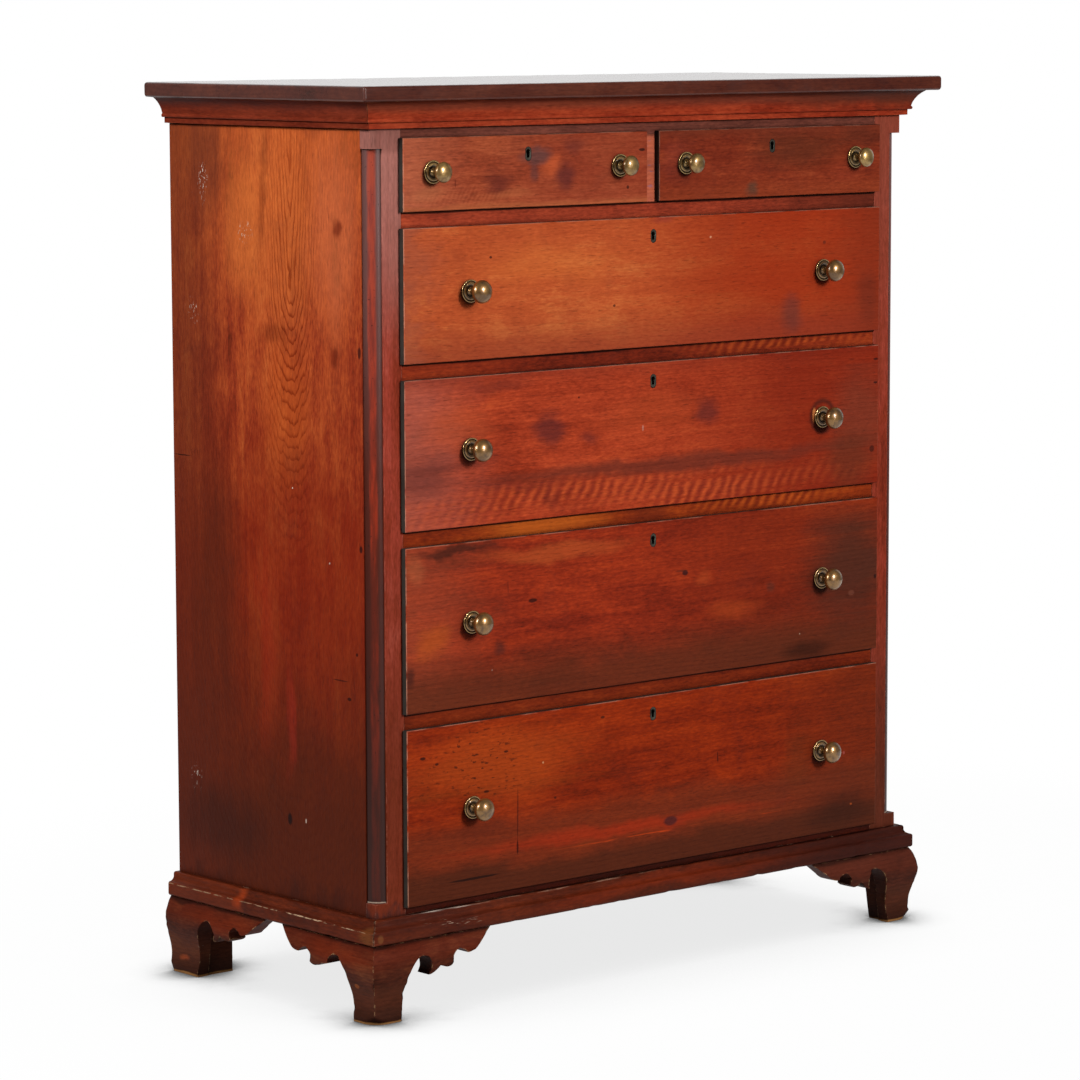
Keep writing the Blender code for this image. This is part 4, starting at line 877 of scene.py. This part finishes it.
innerWood = {
    "palette": ("6c4528", "946539", "ac7c4a", "c4965e"), "ringTint": "c8b098", "rings": 0.6,
    "stain": 0.25, "stainTint": "5a3a20", "gloss": 0.3, "rough": 0.62, "shadeAndGrime": 0.6, "fibre": 0.14,
}
backWood = {**innerWood, "palette": ("4a3020", "6a4630", "80583c", "98704e"), "ringTint": "b8a088"}
keep("back_panel", "backWood", 0, seed=30.0, face=("-x", "z"), heart=(0.7, 0.02), **backWood)
print("case dressed")

# Drawer fronts
# Each front's own tones; the slopes that lighten and grey a front's left end stand for painted sheen
fronts = {
    1: {"palette": ("642a1a", "8c3c24", "a04c2e", "b8603e"), "tones": (
        ("slope", "u", 0.3, 0.0, "b0644a", 0.35), ("slope", "u", 0.3, 0.7, "80301f", 0.5),
        ("patch", 0.6, 0.55, 0.024, 0.02, "b4502c", 0.8),
        ("patch", 0.53, 0.74, 0.034, 0.014, "5e3c38", 0.85),
        ("patch", 0.52, 0.5, 0.01, 0.02, "5c3430", 0.7),
        ("patch", 0.37, 0.34, 0.032, 0.026, "62281f", 0.75),
        ("patch", 0.66, 0.34, 0.024, 0.03, "5a2622", 0.8),
        ("patch", 0.7, 0.8, 0.03, 0.014, "5e2a24", 0.55), ("slope", "w", 0.1, 0.02, "b0603a", 0.55),
        ("patch", 0.1, 0.22, 0.04, 0.014, "a8603e", 0.5),
        ("patch", 0.42, 0.15, 0.06, 0.01, "a85a36", 0.45),
        ("mark", 0.975, 0.74, 0.007, 0.0025, "1c1010", 0.85),
        ("mark", 0.955, 0.56, 0.003, 0.0025, "1c1010", 0.8),
        ("mark", 0.915, 0.22, 0.003, 0.003, "2a1410", 0.8),
        ("mark", 0.205, 0.36, 0.0012, 0.007, "5c1a14", 0.7)),
        "curl": {"zone": (0.26, 0.15, 0.11, 0.016), "lean": -0.6, "period": 0.0078, "depth": 0.2,
                 "light": "b4603c", "dark": "84341f"}},
    2: {"palette": ("46180f", "682415", "7c2f1a", "944124"), "tones": (
        ("patch", 0.62, 0.66, 0.12, 0.034, "542818", 0.66), ("slope", "w", 0.8, 1.0, "5e2a1c", 0.55),
        ("slope", "w", 0.3, 0.0, "8c3c20", 0.45), ("patch", 0.4, 0.12, 0.016, 0.012, "54382a", 0.8),
        ("patch", 0.86, 0.3, 0.04, 0.02, "883420", 0.5), ("patch", 0.92, 0.8, 0.06, 0.02, "4c2418", 0.5),
        ("patch", 0.08, 0.55, 0.04, 0.04, "86382a", 0.4))},
    3: {"palette": ("82321b", "a04322", "b04f28", "c06836"), "mottle": 0.45, "streaks": 0.3, "fibre": 0.13,
        "fleck": 0.15, "rings": 0.12, "tones": (
            ("slope", "u", 0.35, 0.76, "8c260e", 0.8), ("slope", "w", 0.36, 0.0, "7c3222", 0.55),
            ("slope", "u", 0.07, 0.0, "904c38", 0.6), ("patch", 0.28, 0.68, 0.16, 0.035, "bf602c", 0.5),
            ("patch", 0.8, 0.18, 0.03, 0.034, "643028", 0.7), ("slope", "u", 0.86, 1.0, "742816", 0.62),
            ("patch", 0.97, 0.3, 0.03, 0.05, "5e261a", 0.5),
            ("patch", 0.52, 0.96, 0.026, 0.006, "8a3428", 0.6),
            ("mark", 0.168, 0.758, 0.003, 0.002, "3c1a14", 0.85),
            ("mark", 0.418, 0.337, 0.003, 0.0025, "3c1a14", 0.8),
            ("mark", 0.622, 0.825, 0.0025, 0.002, "d0906c", 0.8),
            ("mark", 0.874, 0.735, 0.004, 0.003, "5a2418", 0.7))},
    4: {"palette": ("5c1d12", "8a2e18", "a43c20", "bc5029"), "tones": (
        ("slope", "u", 0.2, 0.0, "a05a4c", 0.5), ("slope", "w", 0.88, 1.0, "76291b", 0.5),
        ("slope", "u", 0.46, 0.84, "741f0f", 0.78), ("patch", 0.03, 0.36, 0.07, 0.036, "5e2a24", 0.6),
        ("patch", 0.96, 0.52, 0.08, 0.08, "6c3626", 0.5),
        ("patch", 0.1, 0.66, 0.08, 0.04, "b04c2a", 0.45),
        ("patch", 0.5, 0.62, 0.12, 0.036, "a84322", 0.4),
        ("patch", 0.29, 0.6, 0.034, 0.03, "582421", 0.75),
        ("patch", 0.615, 0.61, 0.028, 0.024, "582421", 0.7),
        ("patch", 0.365, 0.52, 0.02, 0.012, "5c2421", 0.55),
        ("patch", 0.18, 0.92, 0.07, 0.012, "64241c", 0.5),
        ("patch", 0.55, 0.29, 0.42, 0.016, "622a1e", 0.78),
        ("patch", 0.22, 0.22, 0.12, 0.01, "64241c", 0.5),
        ("patch", 0.93, 0.2, 0.06, 0.05, "5c2a1a", 0.65),
        ("patch", 0.285, 0.14, 0.024, 0.018, "64241c", 0.45),
        ("halo", 0.871, 0.52, 0.023, 0.007, "3a1a14", 0.75),
        ("mark", 0.853, 0.53, 0.005, 0.013, "cc7c44", 0.85),
        ("mark", 0.993, 0.9, 0.006, 0.002, "1c1010", 0.8),
        ("mark", 0.993, 0.73, 0.005, 0.002, "1c1010", 0.8),
        ("mark", 0.985, 0.25, 0.006, 0.006, "2c1410", 0.7),
        ("mark", 0.345, 0.8, 0.002, 0.002, "2c1410", 0.8),
        ("mark", 0.478, 0.55, 0.002, 0.005, "b08070", 0.6)),
        "curl": {"zone": (0.42, 0.1, 0.5, 0.036), "lean": -0.55, "period": 0.0205, "depth": 0.68,
                 "light": "b84e26", "dark": "6c2218"}},
    5: {"palette": ("4c160d", "7c2513", "953016", "b2451e"), "tones": (
        ("slope", "u", 0.22, 0.0, "94462e", 0.45), ("slope", "u", 0.4, 0.8, "66200f", 0.6),
        ("slope", "w", 0.42, 0.1, "522616", 0.84), ("patch", 0.3, 0.9, 0.15, 0.014, "a84822", 0.65),
        ("patch", 0.05, 0.42, 0.034, 0.03, "ac4c1c", 0.6),
        ("patch", 0.1, 0.955, 0.08, 0.007, "3c1c14", 0.8),
        ("patch", 0.02, 0.88, 0.02, 0.02, "b0603a", 0.3),
        ("patch", 0.012, 0.24, 0.014, 0.02, "3c1c16", 0.75),
        ("patch", 0.95, 0.58, 0.13, 0.11, "46251a", 0.9),
        ("patch", 0.67, 0.36, 0.06, 0.018, "9c3c1a", 0.55),
        ("patch", 0.61, 0.6, 0.022, 0.014, "a0401e", 0.5),
        ("patch", 0.84, 0.05, 0.06, 0.016, "2c140c", 0.7),
        ("patch", 0.755, 0.49, 0.012, 0.01, "50281e", 0.6),
        ("patch", 0.185, 0.35, 0.014, 0.012, "44201a", 0.7),
        ("mark", 0.25, 0.6, 0.01, 0.0035, "24110e", 0.85),
        ("mark", 0.568, 0.655, 0.007, 0.0045, "241416", 0.85),
        ("mark", 0.56, 0.67, 0.014, 0.002, "3c1c16", 0.6),
        ("mark", 0.94, 0.39, 0.008, 0.005, "7a4838", 0.35),
        ("mark", 0.2, 0.7, 0.0012, 0.011, "4a1812", 0.6),
        ("mark", 0.995, 0.48, 0.003, 0.004, "1c1010", 0.8),
        ("mark", 0.822, 0.165, 0.0013, 0.0013, "b09078", 0.7),
        ("mark", 0.168, 0.205, 0.0013, 0.0013, "a08878", 0.6))},
    6: {"palette": ("4c1608", "77220b", "8e2d0d", "a53d13"), "tones": (
        ("patch", 0.18, 0.74, 0.2, 0.06, "a44416", 0.5), ("slope", "u", 0.66, 1.0, "5e2411", 0.62),
        ("slope", "w", 0.5, 0.34, "5a2716", 0.68), ("patch", 0.42, 0.245, 0.34, 0.013, "902a12", 0.8),
        ("dash", 0.55, 0.185, 0.26, 0.0016, 14.0, 160.0, "b03c14", 0.75),
        ("slope", "w", 0.21, 0.11, "462012", 0.85), ("patch", 0.92, 0.12, 0.09, 0.034, "301810", 0.65),
        ("patch", 0.82, 0.5, 0.04, 0.06, "5e2a14", 0.45),
        ("mark", 0.538, 0.24, 0.016, 0.008, "2c1a1e", 0.75),
        ("mark", 0.13, 0.105, 0.055, 0.0022, "180c09", 0.85),
        ("mark", 0.218, 0.43, 0.0016, 0.045, "3a140c", 0.65),
        ("mark", 0.218, 0.24, 0.0022, 0.012, "1c0c09", 0.8),
        ("mark", 0.64, 0.575, 0.0014, 0.01, "2c100a", 0.8),
        ("mark", 0.03, 0.835, 0.006, 0.0028, "24100c", 0.85),
        ("mark", 0.057, 0.79, 0.004, 0.0022, "24100c", 0.85),
        ("mark", 0.195, 0.8, 0.005, 0.002, "24100c", 0.85),
        ("mark", 0.155, 0.59, 0.006, 0.0022, "24100c", 0.8),
        ("mark", 0.393, 0.915, 0.005, 0.0022, "2c140e", 0.8),
        ("mark", 0.295, 0.49, 0.003, 0.0022, "2c140e", 0.8),
        ("scuff", 0.13, 0.76, 0.13, 0.07, 90.0, 210.0, "2c120c", 0.75),
        ("mark", 0.27, 0.705, 0.002, 0.002, "c08a60", 0.8),
        ("mark", 0.942, 0.15, 0.003, 0.002, "a04a20", 0.6),
        ("mark", 0.925, 0.475, 0.003, 0.003, "a04a40", 0.6))},
}
frontWork = {"ease": 0.0006, "step": (0.03, 0, 0.03), "chip": 0.0009, "wave": 0.0003}
frontWood = {
    # the fronts' painted shade leans up and to the right, towards the key lamp, so it falls as a painted
    # shadow below and left of each knob
    "shadeAndGrime": 0.92, "hollow": 0.036, "hollowOpen": (0.52, 0.86), "lean": (0.35, 0.0, 0.38),
    "drawer": {"black": (0.0006, 0.0014), "blackTints": ("26231f", "44403b"), "cleanShare": 0.7,
               "bare": (0.01, 0.0106), "bareTints": ("7a4a2e", "9a6840")},
    "rim": {"width": 0.0015, "uneven": 0.0016, "amount": 0.6, "tint": "b07c66"},
}
for number, changes in fronts.items():
    node = f"drawer_{number}_front"
    low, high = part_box(node)
    heart = (low.z + (high.z - low.z) * 0.4, 0.02)
    dress(f"drawerFront{number}", node, frontWork, seed=40.0 + number * 1.7, heart=heart,
          **frontWood, **changes)
    keep(f"drawer_{number}_carcass", f"drawer{number}SidesWood", 0, grain="yzx", face=("-y", "z"),
         seed=60.0 + number, heart=(0.2, 0.03), cornered=True, **innerWood)
    keep(f"drawer_{number}_bottom", f"drawer{number}BottomWood", 0, grain="xyz", face=("x", "y"),
         seed=70.0 + number, heart=(0.0, 0.03), **innerWood)
print("drawers dressed")

# Brass and iron
brassFinish = {
    "bright": "a08048", "dull": "664a26", "grimeAndShade": "0a0604", "worn": "b08f56", "patch": 95.0,
    "rough": 0.33, "metal": 0.75, "coat": 0.8, "coatRough": 0.2, "gloss": 0.15,
    "hollow": 0.006, "deepest": (0.25, 0.72), "relief": 0.25, "reliefDepth": 0.0003,
}
metals = {
    "brass": brassFinish,
    "brownBrass": {**brassFinish, "bright": "8a6432", "dull": "5a3e20", "worn": "a5824e", "coat": 0.9},
    "iron": {**brassFinish, "bright": "45433a", "dull": "2a2822", "worn": "77746a", "patch": 60.0,
             "rough": 0.5, "metal": 0.5, "coat": 0.0},
}


# Grime and painted shade fill the hollows and grooves near to black, and the ridges are rubbed bright
def metalFinish(name, metal):
    material = bpy.data.materials.new(name)
    f = Finish(material)
    spot = f.spot()
    tarnish = f.rise(f.noise(spot, metal["patch"], 4.0, 0.6, 0.4), 0.36, 0.66)
    fine = f.noise(spot, metal["patch"] * 9, 3.0, 0.6)
    bulge = f.node("ShaderNodeAttribute", {"attribute_name": "bulge"}, output="Fac")
    # grime and painted shade in the hollows, the neck's cavity above all
    hollow = 1 - f.rise(f.openness(metal["hollow"]), *metal["deepest"])
    grimeAndShade = f.either(hollow, f.rise(0 - bulge, 0.25, 0.75))
    ridge = f.rise(bulge, 0.35, 0.8) * (1 - hollow)
    paint = f.blend(tarnish, tint(metal["bright"]), tint(metal["dull"]))
    paint = f.blend(fine * 0.3, paint, tint(metal["dull"]))
    paint = f.blend(grimeAndShade * 0.92, paint, tint(metal["grimeAndShade"]))
    paint = f.blend(ridge * 0.8, paint, tint(metal["worn"]))
    rough = metal["rough"] + tarnish * 0.1 + (fine - 0.5) * 0.1 + grimeAndShade * 0.25 - ridge * 0.14
    bump = f.node("ShaderNodeBump", {}, {
        "Strength": metal["relief"], "Distance": metal["reliefDepth"], "Height": fine * 0.5 + tarnish * 0.5})
    f.surface({"Base Color": paint, "Roughness": rough, "Normal": bump,
               "Metallic": metal["metal"] - grimeAndShade * 0.6, "Coat Weight": (1 - grimeAndShade) * metal["coat"],
               "Coat Roughness": metal["coatRough"], "Specular IOR Level": metal["gloss"]})
    return material


brass, brownBrass, iron = (metalFinish(f"{name}Metal", metal) for name, metal in metals.items())

# A knob's profile in millimetres: radius and reach out of the drawer's face, from the nut to the crown
knobShapes = {
    "long": {"ball": (16.5, 10.75), "reach": 35.5},
    "short": {"ball": (14.6, 7.5), "reach": 30.0},
    "nut": ((0, -27.1), (5.6, -27.1), (6.5, -26.5), (6.5, -23.5), (5.9, -23.1), (3.0, -23.1), (3.0, -0.3)),
    "rosette": ((14.6, -0.2), (15.7, 0.1), (16.15, 0.7), (16.0, 1.4), (15.3, 1.8), (14.6, 1.5), (14.2, 0.9),
                (13.6, 0.7), (13.0, 1.1), (12.3, 2.0), (11.2, 2.55), (10.0, 2.5), (9.0, 1.9), (8.2, 1.0),
                (7.2, 0.6), (6.3, 1.0), (5.6, 1.9), (4.9, 3.0), (4.2, 4.2)),
    "neck": ((0.3, 3.8), (0.5, 4.2), (0.66, 5.2), (0.76, 5.9), (0.86, 6.0), (0.94, 5.2)),
    "ballStart": 5.6, "ballSteps": 30, "fillSteps": 3, "sides": 56,
}


# Points between knots, on a curve that passes through each of them
def softCurve(knots, steps):
    points = []
    for number in range(len(knots) - 1):
        near = (knots[min(max(number + shift, 0), len(knots) - 1)] for shift in (-1, 0, 1, 2))
        before, start, end, after = (Vector(knot) for knot in near)
        for step in range(steps):
            t = step / steps
            bend = 2 * start + (end - before) * t + (2 * before - 5 * start + 4 * end - after) * t ** 2
            points.append(tuple((bend + (3 * start - before - 3 * end + after) * t ** 3) / 2))
    return points + [tuple(knots[-1])]


def knobProfile(shape):
    width, half = shape["ball"]
    middle = shape["reach"] - half
    first = math.asin(knobShapes["ballStart"] / width)
    ballFoot = middle - half * math.cos(first)
    neckFoot = knobShapes["rosette"][-1][1]
    turned = list(knobShapes["rosette"])
    turned += [(radius, neckFoot + (ballFoot - neckFoot) * share) for share, radius in knobShapes["neck"]]
    profile = list(knobShapes["nut"]) + softCurve(turned, knobShapes["fillSteps"])
    for step in range(knobShapes["ballSteps"] + 1):
        angle = first + (math.pi - first) * step / knobShapes["ballSteps"]
        radius = width * math.sin(angle) if step < knobShapes["ballSteps"] else 0
        profile.append((radius, middle - half * math.cos(angle)))
    return profile


# How a profile turns at a point: above 0 on a ridge, under 0 in a groove, by the millimetre of bend
def bulgeAt(profile, number):
    near = (profile[min(max(number + shift, 0), len(profile) - 1)] for shift in (-1, 0, 1))
    before, here, after = (Vector(point) for point in near)
    into, out = here - before, after - here
    if not into.length or not out.length:
        return 0.0
    turn = into.angle_signed(out)
    return max(-1.0, min(1.0, -turn / (into.length + out.length) * 2))


# Turns a profile about an axis that points out of the drawer, towards -Y
def turnedMesh(name, profile, centre):
    sides = knobShapes["sides"]
    bm = bmesh.new()
    bulge = bm.verts.layers.float.new("bulge")
    rings = []
    for number, (radius, reach) in enumerate(profile):
        radius, reach = radius / 1000, reach / 1000
        angles = [2 * math.pi * side / sides for side in range(sides if radius else 1)]
        ways = [Vector((math.cos(angle) * radius, -reach, math.sin(angle) * radius)) for angle in angles]
        rings.append([bm.verts.new(centre + way) for way in ways])
        for vert in rings[-1]:
            vert[bulge] = bulgeAt(profile, number)
    for one, other in zip(rings, rings[1:]):
        for side in range(sides):
            beside = (side + 1) % sides
            corners = [one[side % len(one)], one[beside % len(one)]]
            corners += [other[beside % len(other)], other[side % len(other)]]
            bm.faces.new(list(dict.fromkeys(corners)))
    bmesh.ops.recalc_face_normals(bm, faces=bm.faces)
    if bm.calc_volume(signed=True) < 0:
        bmesh.ops.reverse_faces(bm, faces=bm.faces)
    return meshOf(name, bm)


# A lock: its case let into the back of the front, its cap held by rivets, and a liner round the keyhole
lockShape = {
    "caseDepth": 0.01, "capDepth": 0.0012, "capInset": 0.003,
    "rivet": 0.0016, "rivetInset": 0.005, "rivetFlat": 0.25,
    "liner": (0.0105, 0.0195), "eye": 0.0033, "slot": 0.0022, "slotDrop": 0.0082, "holeRise": 0.003,
    "holeDepth": 0.0085, "overlap": 0.0005, "points": 48, "ease": 0.0004, "sharp": 35,
    # the liner's front, from its outline to the hole: share of the way, depth behind the drawer's face
    "linerFront": ((0.0, 0.0004), (0.1, 0.0), (0.62, 0.0001), (0.9, 0.0005), (1.0, 0.0012)),
}


def reachOf(inside, direction):
    near, far = 0.0, 0.05
    for _ in range(24):
        middle = (near + far) / 2
        near, far = (middle, far) if inside(direction * middle) else (near, middle)
    return direction * near


def lockMesh(name, node):
    low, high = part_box(node)
    lock = lockShape
    middle = (low.x + high.x) / 2
    bm = bmesh.new()

    def addBox(start, end):
        corners = bmesh.ops.create_cube(bm, size=1.0)["verts"]
        bmesh.ops.scale(bm, vec=end - start, verts=corners)
        bmesh.ops.translate(bm, vec=(start + end) / 2, verts=corners)
        edges = list({edge for vert in corners for edge in vert.link_edges})
        bmesh.ops.bevel(bm, geom=edges, offset=lock["ease"], segments=2, profile=0.6, affect="EDGES")

    caseFront, capFront = high.y - lock["caseDepth"], high.y - lock["capDepth"]
    capBack = high.y - lock["rivet"] * lock["rivetFlat"]
    inset = lock["capInset"]
    addBox(Vector((low.x, caseFront, low.z)), Vector((high.x, capFront, high.z)))
    addBox(Vector((low.x + inset, capFront, low.z + inset)),
           Vector((high.x - inset, capBack, high.z - inset)))
    rivetInset = inset + lock["rivetInset"]
    for x in (low.x + rivetInset, high.x - rivetInset):
        for z in (low.z + rivetInset, high.z - rivetInset):
            head = bmesh.ops.create_uvsphere(bm, u_segments=12, v_segments=8, radius=lock["rivet"])["verts"]
            bmesh.ops.scale(bm, vec=(1, lock["rivetFlat"], 1), verts=head)
            bmesh.ops.translate(bm, vec=(x, capBack, z), verts=head)

    radius = lock["liner"][0] / 2
    straight = lock["liner"][1] / 2 - radius

    def inLiner(place):
        x, z = place.x, place.y + lock["holeRise"]
        return math.hypot(x, z - min(max(z, -straight), straight)) < radius

    def inHole(place):
        inSlot = abs(place.x) < lock["slot"] and -lock["slotDrop"] < place.y < 0
        return inSlot or place.length < lock["eye"]

    turns = [2 * math.pi * point / lock["points"] for point in range(lock["points"])]
    ways = [Vector((math.sin(turn), math.cos(turn))) for turn in turns]
    faceY, backY = low.y, caseFront + lock["overlap"]
    holeY = min(faceY + lock["holeDepth"], backY)
    outer = [reachOf(inLiner, way) for way in ways]
    inner = [reachOf(inHole, way) for way in ways]
    rise = keyHeights[node] + lock["holeRise"]
    loops = []
    front = [(share, faceY + depth) for share, depth in lock["linerFront"]]
    for share, y in ((0.0, backY), *front, (1.0, holeY)):
        places = [out.lerp(into, share) for out, into in zip(outer, inner)]
        loops.append([bm.verts.new((middle + place.x, y, rise + place.y)) for place in places])
    for one, other in zip(loops, loops[1:]):
        for number in range(len(one)):
            beside = (number + 1) % len(one)
            bm.faces.new((one[number], one[beside], other[beside], other[number]))
    bm.faces.new(loops[-1])
    bm.faces.new(loops[0][::-1])
    bmesh.ops.recalc_face_normals(bm, faces=bm.faces)
    mesh = meshOf(name, bm)
    mesh.set_sharp_from_angle(angle=math.radians(lock["sharp"]))
    return mesh


def lineHeight(node):
    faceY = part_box(node)[0].y
    heights = [vert.co.z for vert in nodes[node].data.vertices if vert.co.y < faceY + 0.0005]
    return (min(heights) + max(heights)) / 2


keyHeights = {name: lineHeight(name) for name in nodes if name.endswith("_lock")}
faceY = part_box("drawer_3_front")[0].y
for number in range(1, 7):
    size, metal = ("short", brass) if number < 3 else ("long", brownBrass)
    for side in ("left", "right"):
        node, name = f"drawer_{number}_knob_{side}", f"knob{number}{side.title()}"
        low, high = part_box(node)
        centre = Vector(((low.x + high.x) / 2, faceY, (low.z + high.z) / 2))
        placePiece(name, turnedMesh(name, knobProfile(knobShapes[size]), centre), metal, node)
    node, name = f"drawer_{number}_lock", f"lock{number}"
    placePiece(name, lockMesh(name, node), iron, node)
print("knobs and locks made")
